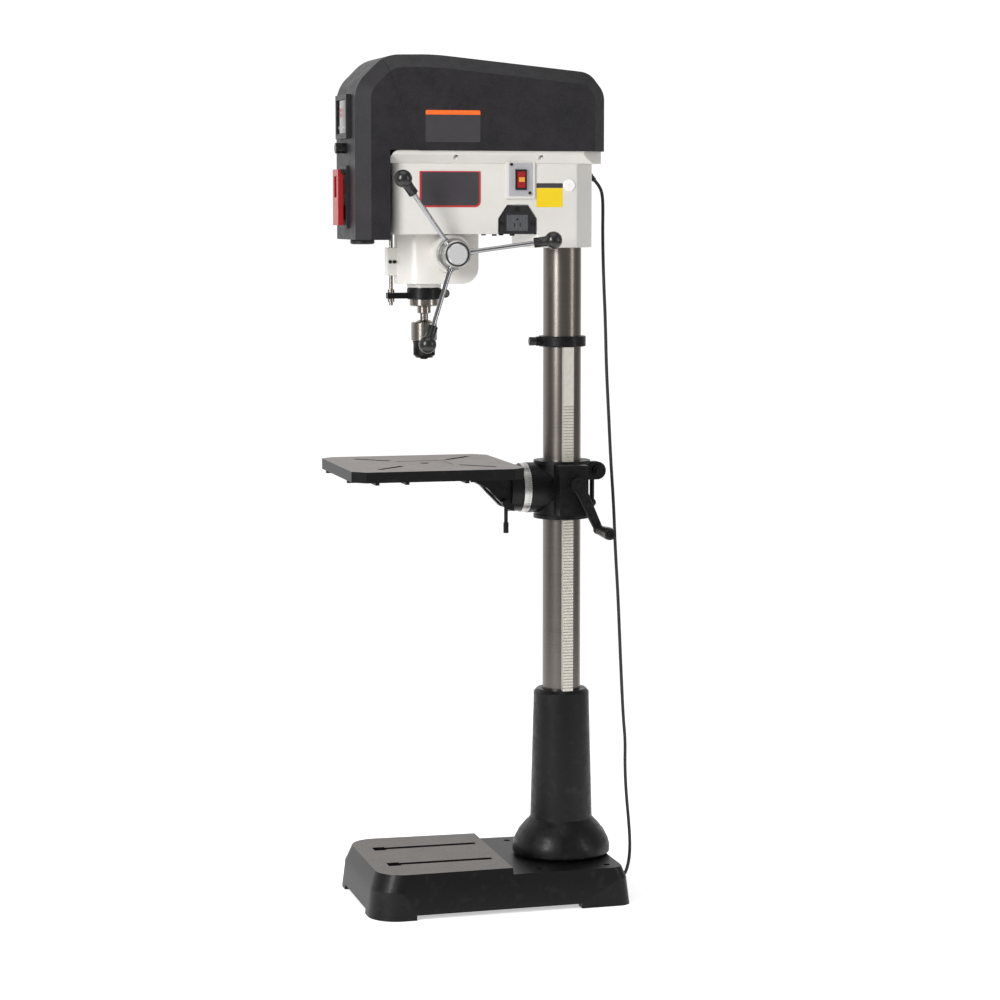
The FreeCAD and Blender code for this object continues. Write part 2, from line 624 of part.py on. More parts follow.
# ---------------------------------------------------------------- motor, pulleys and belt
def drive_parts():
    low = s.head_low + s.head_wall
    gap, fit = s.running_gap, s.fit_gap
    motor_y, spindle = -s.motor_y, -s.spindle_y
    can = s.motor_radius
    keep("motor", turned("tool", [
        (7 + fit, 0), (can - 4, 0), (can, 4), (can, s.pulley_low - low - 24),
        (can - 8, s.pulley_low - low - 14),
        (7 + fit, s.pulley_low - low - 14)], (0, motor_y, low)))
    belt_low, belt_tall = s.pulley_low + 9, s.pulley_tall - 18

    def pulley(radius, bore, sleeve_low, sleeve):
        groove = radius - s.belt_thick - 1
        lip = s.pulley_low + 9 - gap
        return [(bore, sleeve_low), (sleeve, sleeve_low), (sleeve, s.pulley_low), (radius, s.pulley_low),
                (radius, lip), (groove, lip), (groove, lip + belt_tall + 2 * gap),
                (radius, lip + belt_tall + 2 * gap),
                (radius, s.pulley_low + s.pulley_tall), (bore, s.pulley_low + s.pulley_tall)]

    keep("motor_pulley", fuse(
        turned("tool", pulley(s.motor_pulley_radius, as_size(6), s.pulley_low - 10, as_size(12)),
               (0, motor_y, 0)),
        rod(7, s.pulley_low + s.pulley_tall - low, (0, motor_y, low + 4))))
    keep("spindle_pulley", turned("tool", pulley(s.spindle_pulley_radius, s.spindle_radius + fit, 1502, 17),
                                  (0, spindle, 0)))
    bearings = [
        turned("tool", [(17 + fit, 0), (s.quill_radius, 0), (s.quill_radius, 14), (17 + fit, 14)],
               (0, spindle, z))
        for z in (s.head_top - 62, s.head_top - 30)]
    end, y, z, shaft = s.feed_boss_end, -s.feed_y, s.feed_z, s.feed_shaft_radius
    bushes = [cut(rod(shaft + 5, end - 30, (x, y, z), "X"), rod(shaft + fit, end - 28, (x - 1, y, z), "X"))
              for x in (as_size(30), -end)]
    keep("head_bearings", group(*bearings, *bushes))

    big = s.spindle_pulley_radius - s.belt_thick - 1 + gap
    small = s.motor_pulley_radius - s.belt_thick - 1 + gap
    span = float(s.spindle_y - s.motor_y)

    def loop(extra):
        """The belt's outline: two tangent lines that close round both pulleys."""
        r_one, r_two = float(big) + extra, float(small) + extra
        lean = math.asin((r_one - r_two) / span)
        y_one, y_two = float(spindle), float(motor_y)
        rise, run = math.cos(lean), math.sin(lean)
        a, b = Vector(r_one * rise, y_one + r_one * run, 0), Vector(r_two * rise, y_two + r_two * run, 0)
        c, d = Vector(-r_two * rise, y_two + r_two * run, 0), Vector(-r_one * rise, y_one + r_one * run, 0)
        edges = [Part.LineSegment(a, b), Part.Arc(b, Vector(0, y_two + r_two, 0), c),
                 Part.LineSegment(c, d),
                 Part.Arc(d, Vector(0, y_one - r_one, 0), a)]
        return Part.Face(Part.Wire([edge.toShape() for edge in edges]))

    ring = loop(float(s.belt_thick)).cut(loop(0))
    belt = doc.addObject("Part::Feature", "belt")
    belt.Shape = ring.extrude(Vector(0, 0, float(belt_tall)))
    place(belt, (0, 0, belt_low))
    keep("belt", belt)


# ---------------------------------------------------------------- quill, spindle and chuck
def quill_parts():
    y, low, high = -s.spindle_y, s.quill_low, s.quill_low + s.quill_long
    radius, fit, gap = s.quill_radius, s.fit_gap, s.running_gap
    tube = turned("tool", [
        (14, low), (radius - 2, low), (radius, low + 2), (radius, high), (14, high), (14, high - 20),
        (24, high - 20),
        (24, high - 40), (14, high - 40), (14, low + 45), (24, low + 45), (24, low + 15), (14, low + 15)],
        (0, y, 0))
    flat = box((-9.5, y + radius - 2.5, low + 40), (9.5, y + radius + 2, high + 1))
    doc.recompute()
    count = int((float(high - low) - 44) / float(s.rack_pitch)) + 1
    notch = Part.makeBox(20, 2, 2.6)
    notches = [notch.translated(Vector(-10, float(y + radius) - 4,
                                       float(low) + 44 + i * float(s.rack_pitch)))
               for i in range(count)]
    blank = cut(tube, flat)
    doc.recompute()
    quill = doc.addObject("Part::Feature", "quill")
    quill.Shape = blank.Shape.cut(Part.makeCompound(notches))
    keep("quill", quill)
    inner = s.spindle_radius + fit
    keep("quill_bearings", group(*[
        turned("tool", [(inner, 0), (24, 0), (24, tall), (inner, tall)], (0, y, z))
        for z, tall in ((low + 15, 30), (high - 40, 20))]))

    keep("spindle", turned("tool", [
        (0, s.chuck_high - 24), (7.5, s.chuck_high - 24), (8.5, s.chuck_high + 4), (8.5, low - 16),
        (14, low - 14),
        (14, low - gap), (s.spindle_radius, low - gap), (s.spindle_radius, s.spindle_top - 3),
        (s.spindle_radius - 3, s.spindle_top), (0, s.spindle_top)], (0, y, 0)))

    top = s.chuck_high
    chuck = turned("tool", [
        (7.5 + 0.02, top - 24), (8.5 + 0.02, top + 4), (12, top + 4), (19, top), (s.chuck_radius - 2, top),
        (s.chuck_radius, top - 2), (s.chuck_radius, s.chuck_low + 1), (s.chuck_radius - 1, s.chuck_low),
        (17 - gap, s.chuck_low), (17 - gap, s.sleeve_low + 15), (0, s.sleeve_low + 15), (0, top - 24)],
        (0, y, 0))
    low_rim = s.sleeve_low
    keep("chuck_sleeve", turned("tool", [
        (17, low_rim + 14), (12.5, low_rim), (17, low_rim), (21, low_rim + 5), (23, s.chuck_low - 6),
        (24, s.chuck_low - 3), (24, s.chuck_low - gap), (17, s.chuck_low - gap)], (0, y, 0)))
    ways = []
    for i in range(3):
        around = Rotation(Z, 120 * i)
        tilt = Rotation(around.multVec(Y), 10)
        foot = around.multVec(Vector(4.5, 0, 0))
        start = (foot.x, y + foot.y, s.sleeve_low - 4)
        ways.append(rod(3.6 + fit, 47, start, tilt))
        tip = cut(rod(3.6, 34, start, tilt), box((-20, y - 20, s.sleeve_low - 12), (20, y + 20,
                                                                                    s.sleeve_low - 3)))
        keep("chuck_jaw_%d" % (i + 1), tip)
    keep("chuck_body", cut(chuck, *ways))

    collar_low, collar_high = s.quill_low + 14, s.quill_low + 38
    ring = turned("tool", [(radius + fit, collar_low), (radius + 4, collar_low),
                           (radius + 5.5, collar_low + 2),
                           (radius + 5.5, collar_high - 2), (radius + 4, collar_high),
                           (radius + fit, collar_high)],
                  (0, y, 0))
    rod_y = 17 - s.head_front
    arm = box((-9, rod_y - 9, collar_low + 2), (9, y - radius, collar_low + 14))
    ear = rod(9, 22, (-11, y + radius + 13, collar_low + 12), "X")
    web = box((-11, y + radius, collar_low + 4), (11, y + radius + 13, collar_low + 20))
    split = box((-1.5, y + radius - 2, collar_low - 1), (1.5, y + radius + 30, collar_high + 1))
    screw_hole = rod(3.1, 40, (-20, y + radius + 13, collar_low + 12), "X")
    rod_hole = rod(4.1, 40, (0, rod_y, collar_low - 10))
    bore = rod(radius + fit, 40, (0, y, collar_low - 5))
    keep("quill_collar", cut(fuse(ring, arm, ear, web), split, screw_hole, rod_hole, bore))
    clamp = fuse(rod(3, 26, (-13, y + radius + 13, collar_low + 12), "X"),
                 rod(6, 5, (11, y + radius + 13, collar_low + 12), "X"))
    keep("depth_rod", group(clamp, fuse(rod(4, s.head_low + 54 - (collar_low - 12),
                                            (0, rod_y, collar_low - 12)),
                           rod(7, 7, (0, rod_y, collar_low - 5)), rod(7, 7, (0, rod_y, collar_low + 14)))))


# ---------------------------------------------------------------- feed handle
def feed_parts():
    y, z, fit, gap = -s.feed_y, s.feed_z, s.fit_gap, s.running_gap
    end, shaft = s.feed_boss_end, s.feed_shaft_radius
    bar = rod(shaft, 2 * end + 40, (-(end + 22), y, z), "X")
    wheel = rod(shaft + 1.3, 17, (-8.5, y, z), "X")
    doc.recompute()
    gaps = [rod(0.9, 54, (-27, y + math.cos(math.radians(30 * i)) * (shaft + 1.6),
                          z + math.sin(math.radians(30 * i)) * (shaft + 1.6)), "X") for i in range(12)]
    keep("feed_shaft", cut(fuse(bar, wheel), *gaps))
    hub = turned("tool", [
        (shaft, end + gap), (34, end + gap), (34, end + 8), (32, end + 10), (s.hub_radius, end + 10),
        (s.hub_radius, s.hub_end - 2), (s.hub_radius - 2, s.hub_end), (shaft, s.hub_end)], (0, y, z), "X")
    cap = turned("tool", [(0, -2), (22, -2), (22, 0), (20, 2), (0, 2.6)], (s.hub_end, y, z), "X")
    keep("feed_hub", fuse(hub, cap))
    rods, knobs = [], []
    start_x, reach = end + 29, s.handle_reach
    for i in range(3):
        angle = math.radians(s.handle_turn.value + 120 * i)
        lean = math.atan2(float(s.handle_lean), float(reach - s.hub_radius))
        out = Vector(0, math.cos(angle), math.sin(angle))
        along = Vector(math.sin(lean), math.cos(lean) * out.y, math.cos(lean) * out.z)
        spin = Rotation(Z, along)
        foot = s.hub_radius - 6
        length = (reach - s.hub_radius) / math.cos(lean)
        base = (start_x, y + foot * out.y, z + foot * out.z)
        rods.append(fuse(rod(s.rod_radius, length - 12, base, spin),
                         rod(s.rod_radius + 2.2, 16, base, spin)))
        neck_start = length - 40
        neck = tuple(at + neck_start * part for at, part in zip(base, (along.x, along.y, along.z)))
        centre = tuple(at + length * part for at, part in zip(base, (along.x, along.y, along.z)))
        knob = fuse(cone(8, 11.5, 30, neck, spin), ball(s.ball_radius, centre))
        knobs.append(cut(knob, rod(s.rod_radius, length - 12, base, spin)))
    keep("feed_rods", cut(group(*rods), rod(s.hub_radius, 200, (0, y, z), "X")))
    keep("feed_knobs", group(*knobs))
    keep("spring_housing", cut(
        turned("tool", [(0, 0), (30, 0), (32, 2), (32, 20), (29, 23), (0, 23)], (-end, y, z), "-X"),
        rod(26, 19, (-(end - 1), y, z), "-X"), rod(shaft + fit, 26, (-(end - 1), y, z), "-X")))
    keep("return_spring", cut(rod(25, 14, (-(end + 1), y, z), "-X"),
                              rod(shaft + 1, 16, (-end, y, z), "-X")))


# ---------------------------------------------------------------- table and the bracket that carries it
def bracket_parts():
    low, high, radius = s.bracket_low, s.bracket_high, s.bracket_radius
    tall, gap, fit = high - low, s.running_gap, s.fit_gap
    tilt = s.tilt_z
    crank_y, crank_z, gear = s.crank_y, s.crank_z, s.gear_radius
    gear_x = s.column_radius + gap + s.rack_thick + gap + gear
    gear_z = crank_z - gear - s.worm_radius - gap
    hub = rod(radius, tall, (0, 0, low))
    rims = [rod(radius + 3, 8, (0, 0, z)) for z in (low, high - 8)]
    boss = rod(s.tilt_radius, s.tilt_face, (0, -s.tilt_face, tilt), Rotation(X, -90))
    gearbox = box((30, -31, low + 12), (s.gearbox_end, 31, high - 5))
    crank_boss = rod(18, 6, (s.gearbox_end, crank_y, crank_z), "X")
    ears = fuse(box((-12, 40, high - 43), (12, 75, high - 5)), rod(19, 24, (-12, 75, high - 24), "X"))
    bore = rod(s.column_radius + fit + 0.03, tall + 2, (0, 0, low - 1))
    rack_slot = box((0, -s.rack_half - gap, low - 1),
                    (s.column_radius + gap + s.rack_thick + gap, s.rack_half + gap, high + 1))
    cavity = box((50, -15, gear_z - gear - 3), (s.gearbox_end - 8, 15, crank_z + s.worm_radius + 3))
    split = box((-2, 30, low - 1), (2, 110, high + 1))
    clamp_hole = rod(6 + fit, 60, (-30, 75, high - 24), "X")
    crank_bore = rod(7 + fit, 30, (s.gearbox_end - 10, crank_y, crank_z), "X")
    pin_hole = rod(4, 70, (gear_x, -35, gear_z), "Y")
    tilt_hole = rod(9, 50, (0, -s.tilt_face - 10, tilt), "Y")
    keep("table_bracket", cut(fuse(hub, *rims, boss, gearbox, crank_boss, ears), bore, rack_slot, cavity,
                              split,
                              clamp_hole, crank_bore, pin_hole, tilt_hole))

    gear_pin = rod(4, 66, (gear_x, -33, gear_z), "Y")
    head_face = s.tilt_face + s.ring_thick + 26 + gap
    tilt_bolt = fuse(rod(8, 62, (0, -head_face - 4, tilt), "Y"),
                     rod(9, 32, (0, -s.tilt_face, tilt), "Y"),
                     rod(13, 8, (0, -head_face - 8, tilt), "Y"))
    keep("bracket_bolts", group(gear_pin, tilt_bolt))

    wheel = rod(gear, 20, (gear_x, -10, gear_z), "Y")
    teeth = [rod(1.3, 24, (gear_x + math.cos(math.radians(22.5 * i)) * (gear + 0.4), -12,
                           gear_z + math.sin(math.radians(22.5 * i)) * (gear + 0.4)),
                           "Y") for i in range(16)]
    keep("lift_gear", cut(wheel, rod(4 + fit, 24, (gear_x, -12, gear_z), "Y"), *teeth))

    worm_start = gear_x - 14
    worm = rod(s.worm_radius, 30, (worm_start, crank_y, crank_z), "X")
    hub_x = s.gearbox_end + 6 + gap
    shaft = rod(7, hub_x + 5 - worm_start - 29, (worm_start + 29, crank_y, crank_z), "X")
    swing = math.radians(25.3)
    reach_y, reach_z = s.crank_reach * math.sin(swing), -s.crank_reach * math.cos(swing)
    arm_hub = rod(16, 17, (hub_x, crank_y, crank_z), "X")
    owner = body()
    flat = sketch(owner, "YZ_Plane", hub_x + 4)
    side_y, side_z = math.cos(swing), math.sin(swing)
    polygon(flat, [
        (crank_y - 13 * side_y, crank_z - 13 * side_z), (crank_y + 13 * side_y, crank_z + 13 * side_z),
        (crank_y + reach_y + 9 * side_y, crank_z + reach_z + 9 * side_z),
        (crank_y + reach_y - 9 * side_y, crank_z + reach_z - 9 * side_z)])
    feature(owner, "Pad", flat, 10)
    dress(owner, "Fillet", 2.5, lambda m, t: abs(t.x) < 0.1)
    end = rod(10.5, 13, (hub_x + 3, crank_y + reach_y, crank_z + reach_z), "X")
    pin = rod(4.5, 80, (hub_x + 15, crank_y + reach_y, crank_z + reach_z), "X")
    pin_head = rod(7, 3, (hub_x + 94, crank_y + reach_y, crank_z + reach_z), "X")
    cap = rod(6, 3, (hub_x + 17, crank_y, crank_z), "X")
    keep("table_crank", fuse(worm, shaft, arm_hub, owner, end, pin, pin_head, cap))
    keep("crank_grip", turned("tool", [
        (4.5 + fit, 0), (9, 0), (10.5, 3), (11, 10), (13, 52), (13.5, 66), (12, 76), (4.5 + fit, 76)],
        (hub_x + 17, crank_y + reach_y, crank_z + reach_z), "X"))

    ear_y, ear_z = 75, high - 24
    keep("clamp_lever", fuse(
        rod(6, 58, (-36, ear_y, ear_z), "X"), rod(11, 24 - gap, (-36, ear_y, ear_z), "X"),
        rod(11, 5, (12 + gap, ear_y, ear_z), "X"), rod(5, 70, (-28, ear_y, ear_z), Rotation(X, 180)),
        ball(9, (-28, ear_y, ear_z - 72))))


def table_parts():
    gap, fit, tilt, low = s.running_gap, s.fit_gap, s.tilt_z, s.arm_low
    ring_front = -(s.tilt_face + s.ring_thick)
    ring = rod(s.tilt_radius - 1, s.ring_thick - gap, (0, ring_front, tilt), "Y")
    keep("tilt_ring", cut(ring, rod(22, s.ring_thick + 2, (0, ring_front - 1, tilt), "Y")))
    half, middle = s.table_side / 2, -s.table_y
    under = s.table_top - s.table_rim
    disc = rod(s.tilt_radius - 4, 26, (0, ring_front - 26, tilt), "Y")
    owner = body()
    web = sketch(owner, "YZ_Plane")
    polygon(web, [(ring_front - 20, low + 6), (ring_front - 36, low + 12), (-172, 872), (-214, under - 10),
                  (-214, under), (middle + half + 2, under), (ring_front - 20, under)])
    feature(owner, "Pad", web, 76, middle=True)
    pocket = box((-20, ring_front - 90, low - 2), (20, ring_front - 26, under - 12))
    hole = rod(8 + fit, 60, (0, ring_front - 40, tilt), "Y")
    lever_hole = rod(5 + fit, 40, (10, -134, 840), "X")
    spots = [(x, y, under - drop) for x in (-29, 29) for y, drop in ((-200, 12), (-158, 34))]
    seats = [rod(7, 60, (x, y, z - 60)) for x, y, z in spots]
    bolt_holes = [rod(4 + fit, 60, (x, y, z - 10)) for x, y, z in spots]
    keep("table_arm", cut(fuse(disc, owner), pocket, hole, lever_hole, *seats, *bolt_holes))
    keep("table_bolts", group(*[
        fuse(rod(6.5, 6, (x, y, z - 6)), rod(4, under + 6 - z, (x, y, z))) for x, y, z in spots]))
    keep("tilt_lever", fuse(
        rod(5, 32, (20, -134, 840), "X"), rod(9, 14, (38 + gap, -134, 840), "X"),
        rod(4, 50, (45 + gap, -134, 840), Rotation(X, 180)),
        rod(5.5, 22, (45 + gap, -134, 800), Rotation(X, 180))))

    spindle = -s.spindle_y
    table = body()
    chamfer = 25
    plan = polygon(sketch(table, "XY_Plane", under), [
        (-half, middle - half + chamfer), (chamfer - half, middle - half), (half - chamfer, middle - half),
        (half, middle - half + chamfer), (half, middle + half - chamfer), (half - chamfer, middle + half),
        (chamfer - half, middle + half), (-half, middle + half - chamfer)])
    feature(table, "Pad", plan, s.table_rim)
    rim = 10
    hollow = polygon(sketch(table, "XY_Plane", under), [
        (rim - half, middle - half + chamfer + 4), (chamfer + 4 - half, middle - half + rim),
        (half - chamfer - 4, middle - half + rim), (half - rim, middle - half + chamfer + 4),
        (half - rim, middle + half - chamfer - 4), (half - chamfer - 4, middle + half - rim),
        (chamfer + 4 - half, middle + half - rim), (rim - half, middle + half - chamfer - 4)])
    feature(table, "Pocket", hollow, s.table_rim - s.table_plate, back=True)
    pad = rectangle(sketch(table, "XY_Plane", under), (-40, -216), (40, middle + half - 5))
    feature(table, "Pad", pad, s.table_rim - 2)
    for y in (-437, -375, -250):
        rib = rectangle(sketch(table, "XY_Plane", under - 5), (-half, y - 4), (half, y + 4))
        feature(table, "Pad", rib, s.table_rim - 2)
    for x in (-110, 110):
        rib = rectangle(sketch(table, "XY_Plane", under - 5), (x - 4, middle - half),
                        (x + 4, middle + half))
        feature(table, "Pad", rib, s.table_rim - 2)
    insert = s.insert_side / 2
    seat = rectangle(sketch(table, "XY_Plane", s.table_top), (-insert, spindle - insert),
                     (insert, spindle + insert))
    feature(table, "Pocket", seat, 8)
    well = rectangle(sketch(table, "XY_Plane", s.table_top), (8 - insert, spindle - insert + 8),
                     (insert - 8, spindle + insert - 8))
    feature(table, "Pocket", well, 60)
    slots = []
    for side in (-1, 1):
        for end in (-1, 1):
            spin = Rotation(Z, math.degrees(math.atan2(end, side)))
            bar = doc.addObject("Part::Box", "slot")
            bind(bar, Length=90, Width=12, Height=60)
            offset = spin.multVec(Vector(0, -6, 0))
            bar.Placement = Placement(Vector(), spin)
            bind(bar, Placement__Base__x=side * 60 + offset.x,
                 Placement__Base__y=spindle + end * 60 + offset.y,
                 Placement__Base__z=s.table_top - 40)
            slots.append(bar)
    holes = [rod(4 + fit, 8, (x, y, under - 1)) for x in (-29, 29) for y in (-200, -158)]
    keep("table", cut(table, *slots, *holes))
    plate = box((-insert + 0.5, spindle - insert + 0.5, s.table_top - 8),
                (insert - 0.5, spindle + insert - 0.5, s.table_top - 0.5))
    keep("table_insert", cut(plate, rod(10, 20, (0, spindle, s.table_top - 15))))


# ---------------------------------------------------------------- mains lead
LEAD_ROUTE = [
    (0, 81.2, 1500), (0, 87.4, 1482.6), (0, 88.9, 1454), (0, 88.2, 1400), (0, 90.6, 1310), (0, 95.2, 1215),
    (0, 97.6, 1120), (0, 103, 1022), (0, 108, 925), (0, 115, 828), (0, 119.2, 730), (0, 125.6, 632),
    (0, 130, 536),
    (0, 134.6, 440), (0, 139, 362), (0, 143.6, 315), (0, 142.8, 262), (0, 146, 200), (0, 152.5, 135),
    (0, 155.6, 88), (-1, 154, 55), (-8, 151, 30), (-23, 148, 12), (-45, 145, 4.6), (-74, 141, 3.8),
    (-112, 138, 3.7), (-150, 129, 3.8), (-180, 106, 3.7), (-196, 72, 3.8), (-203, 34, 3.7),
    (-201.5, -2, 3.8),
    (-201.3, -34, 3.7),
]


def lead_path(points):
    """Straight runs joined by tangent arcs, each as large as its two runs allow."""
    points = [Vector(*point) for point in points]
    edges, radii, start = [], [], points[0]
    for before, corner, after in zip(points, points[1:], points[2:]):
        back, ahead = (before - corner), (after - corner)
        shorter = min(back.Length, ahead.Length)
        back.normalize()
        ahead.normalize()
        turn = math.pi - back.getAngle(ahead)
        reach = 0.45 * shorter
        radius = reach / math.tan(turn / 2)
        radii.append(round(radius))
        into, out = corner + back * reach, corner + ahead * reach
        inward = (back + ahead).normalize()
        middle = corner + inward * (math.hypot(radius, reach) - radius)
        edges += [Part.LineSegment(start, into), Part.Arc(into, middle, out)]
        start = out
    edges.append(Part.LineSegment(start, points[-1]))
    print("lead arc radii", radii)
    return Part.Wire([edge.toShape() for edge in edges])


def tube(path, radius):
    """A round bar swept along a path, compared with its section times its length."""
    first = path.Edges[0]
    along = first.tangentAt(first.FirstParameter)
    ring = Part.Wire([Part.Circle(first.valueAt(first.FirstParameter), along, radius).toShape()])
    bar = path.makePipeShell([ring], True, True)
    wanted = math.pi * radius ** 2 * path.Length
    print("lead length %.0f mm, volume %.4f of section times length" % (path.Length, bar.Volume / wanted))
    return bar


def lead_parts():
    """The lead leaves the head, hangs behind the column and ends in a tied coil beside the base."""
    radius, rear = s.lead_radius, s.socket_rear
    down = Vector(0, 0.669, -0.743)
    spin = Rotation(Z, down)
    foot = Vector(0, 44, s.lead_exit.value)
    tip = foot + down * 39
    flange = rod(9, 3, (0, rear, s.lead_exit - 10), "Y")
    sleeve = cone(6.6, 4.6, 39, (0, foot.y, s.lead_exit), spin)
    behind = box((-20, 0, s.head_low), (20, rear, s.head_top))
    keep("strain_relief", fuse(flange, cut(sleeve, behind)))

    lead = doc.addObject("Part::Feature", "power_cord")
    run = tube(lead_path([tuple(tip)] + LEAD_ROUTE), radius.value)
    end_x = LEAD_ROUTE[-1][0]
    coil_y, mean = -45, 38.5
    coil_x = end_x - mean
    tail_top = Vector(end_x, coil_y, 18.2)
    tail = tube(lead_path([tail_top, (tail_top.x, -70, 15.4), (tail_top.x, -92, 12.4)]), radius.value)
    lead.Shape = Part.makeCompound([run, tail])
    keep("power_cord", lead)
    outer, inner = mean + radius, mean - radius
    keep("cord_coil", turned("tool", [(inner, 0.2), (outer, 0.2), (outer, 21.8), (inner, 21.8)],
                             (coil_x, coil_y, 0)))
    plug_end = -92
    shell = box((end_x - 15, plug_end - 42, 0.2), (end_x + 15, plug_end - 12, 24.2))
    grip = cone(6, 10, 12, (end_x, plug_end, 12.4), "-Y")
    prongs = [box((end_x + x - 0.8, plug_end - 59, 9), (end_x + x + 0.8, plug_end - 41, 15.5))
              for x in (-6.35, 6.35)]
    earth = rod(2.4, 22, (end_x, plug_end - 41, 18.5), "-Y")
    keep("plug", fuse(shell, grip, *prongs, earth))


column_parts()
base_casting()
rack_parts()
head_casting()
side_fittings(covers())
front_panel()
drive_parts()
quill_parts()
feed_parts()
bracket_parts()
table_parts()
lead_parts()

doc.recompute()
for thing in doc.Objects:
    if {"Invalid", "Error"} & set(thing.State):
        raise RuntimeError("%s (%s) failed" % (thing.Name, thing.Label))
os.makedirs("parts", exist_ok=True)
for node in nodes:
    shape = node.Shape
    if shape.isNull() or not shape.isValid():
        raise RuntimeError(node.Label + " has no valid shape")
    shape.exportStep("parts/" + node.Label + ".step")
    print("%-18s %2d solids %8.1f cm3" % (node.Label, len(shape.Solids), shape.Volume / 1000))
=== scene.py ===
# %% [markdown]
# # Dressing a floor-standing drill press
# The machine arrives as a finished frame: every casting, shaft and lever already has its shape and its
# place. This lesson gives those pieces their surfaces and adds what a frame leaves out: the mains lead,
# blank plates, scales, knurls and the recesses in the screws. Lengths are in metres, the origin is on the
# floor under the column, -Y is the operator's side and +X is the side with the feed handles.

# %% Load the frame
import math

import bmesh
import bpy
from mathutils import Matrix, Vector


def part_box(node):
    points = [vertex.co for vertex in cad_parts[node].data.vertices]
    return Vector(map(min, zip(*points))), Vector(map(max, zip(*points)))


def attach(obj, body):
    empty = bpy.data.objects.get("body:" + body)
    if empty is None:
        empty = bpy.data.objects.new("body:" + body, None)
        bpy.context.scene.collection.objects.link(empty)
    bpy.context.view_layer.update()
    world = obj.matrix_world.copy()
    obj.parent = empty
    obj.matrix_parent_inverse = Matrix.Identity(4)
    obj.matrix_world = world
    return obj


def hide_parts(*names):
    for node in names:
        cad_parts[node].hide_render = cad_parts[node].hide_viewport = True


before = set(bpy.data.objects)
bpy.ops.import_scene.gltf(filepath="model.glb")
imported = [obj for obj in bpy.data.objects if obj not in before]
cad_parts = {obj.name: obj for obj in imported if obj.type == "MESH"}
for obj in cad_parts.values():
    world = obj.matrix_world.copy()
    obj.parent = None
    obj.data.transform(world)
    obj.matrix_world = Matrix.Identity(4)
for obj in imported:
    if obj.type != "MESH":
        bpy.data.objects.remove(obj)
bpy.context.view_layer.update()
MM = 0.001

# %% [markdown]
# ## Camera
# A product view from the operator's right with a long lens, a little above the table, so that upright edges
# stay nearly parallel.

# %% Camera
lens = bpy.data.cameras.new("camera")
lens.lens = 99.66
lens.sensor_width = 36
camera = bpy.data.objects.new("camera", lens)
camera.location = (5.6109, -1.6013, 1.4557)
camera.rotation_euler = (math.radians(90 - 6.035), 0, math.radians(75.355))
bpy.context.scene.collection.objects.link(camera)
bpy.context.scene.camera = camera
print("camera stands %.2f m from the column" % math.hypot(camera.location.x, camera.location.y))

# %% [markdown]
# ## Mains lead
# A real lead is a fixed length of round PVC cable. It leaves the head through a strain relief, hangs behind
# the column under its own weight, reaches the floor and lies round the base to a tied coil. One NURBS
# spline of order 3 gives a line that never kinks, so a bevelled curve on such a spline is the natural way
# to make it. The turns of the coil are worked out by a loop and belong to the same spline.

# %% The lead's route
LEAD_RADIUS = 3.5 * MM
RELIEF_FOOT = Vector((0, 0.044, 1.541))
RELIEF_AXIS = Vector((0, 0.669, -0.743)).normalized()
RELIEF_LENGTH = 39 * MM
RELIEF_TIP = RELIEF_FOOT + RELIEF_AXIS * RELIEF_LENGTH
LEAD_ROUTE = [
    (0, 0.0812, 1.500), (0, 0.0874, 1.4826), (0, 0.0889, 1.454), (0, 0.0882, 1.400), (0, 0.0906, 1.310),
    (0, 0.0952, 1.215), (0, 0.0976, 1.120), (0, 0.103, 1.022), (0, 0.108, 0.925), (0, 0.115, 0.828),
    (0, 0.1192, 0.730), (0, 0.1256, 0.632), (0, 0.130, 0.536), (0, 0.1346, 0.440), (0, 0.139, 0.362),
    (0, 0.1436, 0.315), (0, 0.1428, 0.262), (0, 0.146, 0.200), (0, 0.1525, 0.135), (0, 0.1556, 0.088),
    (-0.001, 0.154, 0.055), (-0.008, 0.151, 0.030), (-0.023, 0.148, 0.012), (-0.045, 0.145, 0.0046),
    (-0.074, 0.141, 0.0038), (-0.112, 0.138, 0.0037), (-0.150, 0.129, 0.0038), (-0.180, 0.106, 0.0037),
    (-0.196, 0.072, 0.0038), (-0.203, 0.034, 0.0037), (-0.2015, -0.002, 0.0038), (-0.2013, -0.034, 0.0037),
]
COIL_TURNS = 2
COIL_RADIUS = 38.5 * MM
STEPS_PER_TURN = 16
coil_centre = Vector((LEAD_ROUTE[-1][0] - COIL_RADIUS, -0.045, 0))
outward = 2 / (1 + math.cos(math.pi / STEPS_PER_TURN) ** 2)
coil_points = []
for step in range(COIL_TURNS * STEPS_PER_TURN + 1):
    turned = step / STEPS_PER_TURN
    angle = -2 * math.pi * turned
    reach = COIL_RADIUS * outward
    coil_points.append((coil_centre.x + reach * math.cos(angle), coil_centre.y + reach * math.sin(angle),
                        (3.7 + 7.2 * turned) * MM))
PLUG_END, PLUG_HEIGHT = -0.092, 0.0124
tail = [(LEAD_ROUTE[-1][0], -0.070, 0.0154), (LEAD_ROUTE[-1][0], PLUG_END, PLUG_HEIGHT)]
lead_points = [tuple(RELIEF_TIP)] + LEAD_ROUTE + coil_points + tail
print("lead route has %d points" % len(lead_points))

# %% Build the lead
def link(thing):
    bpy.context.scene.collection.objects.link(thing)
    return thing


def smooth_line(name, points, radius):
    """A round bar along one NURBS spline."""
    curve = bpy.data.curves.new(name, "CURVE")
    curve.dimensions = "3D"
    spline = curve.splines.new("NURBS")
    spline.points.add(len(points) - 1)
    for control, place in zip(spline.points, points):
        control.co = (*place, 1)
    spline.order_u = 3
    spline.use_endpoint_u = True
    spline.resolution_u = 8
    curve.bevel_depth = radius
    curve.bevel_resolution = 4
    curve.use_fill_caps = True
    return link(bpy.data.objects.new(name, curve))


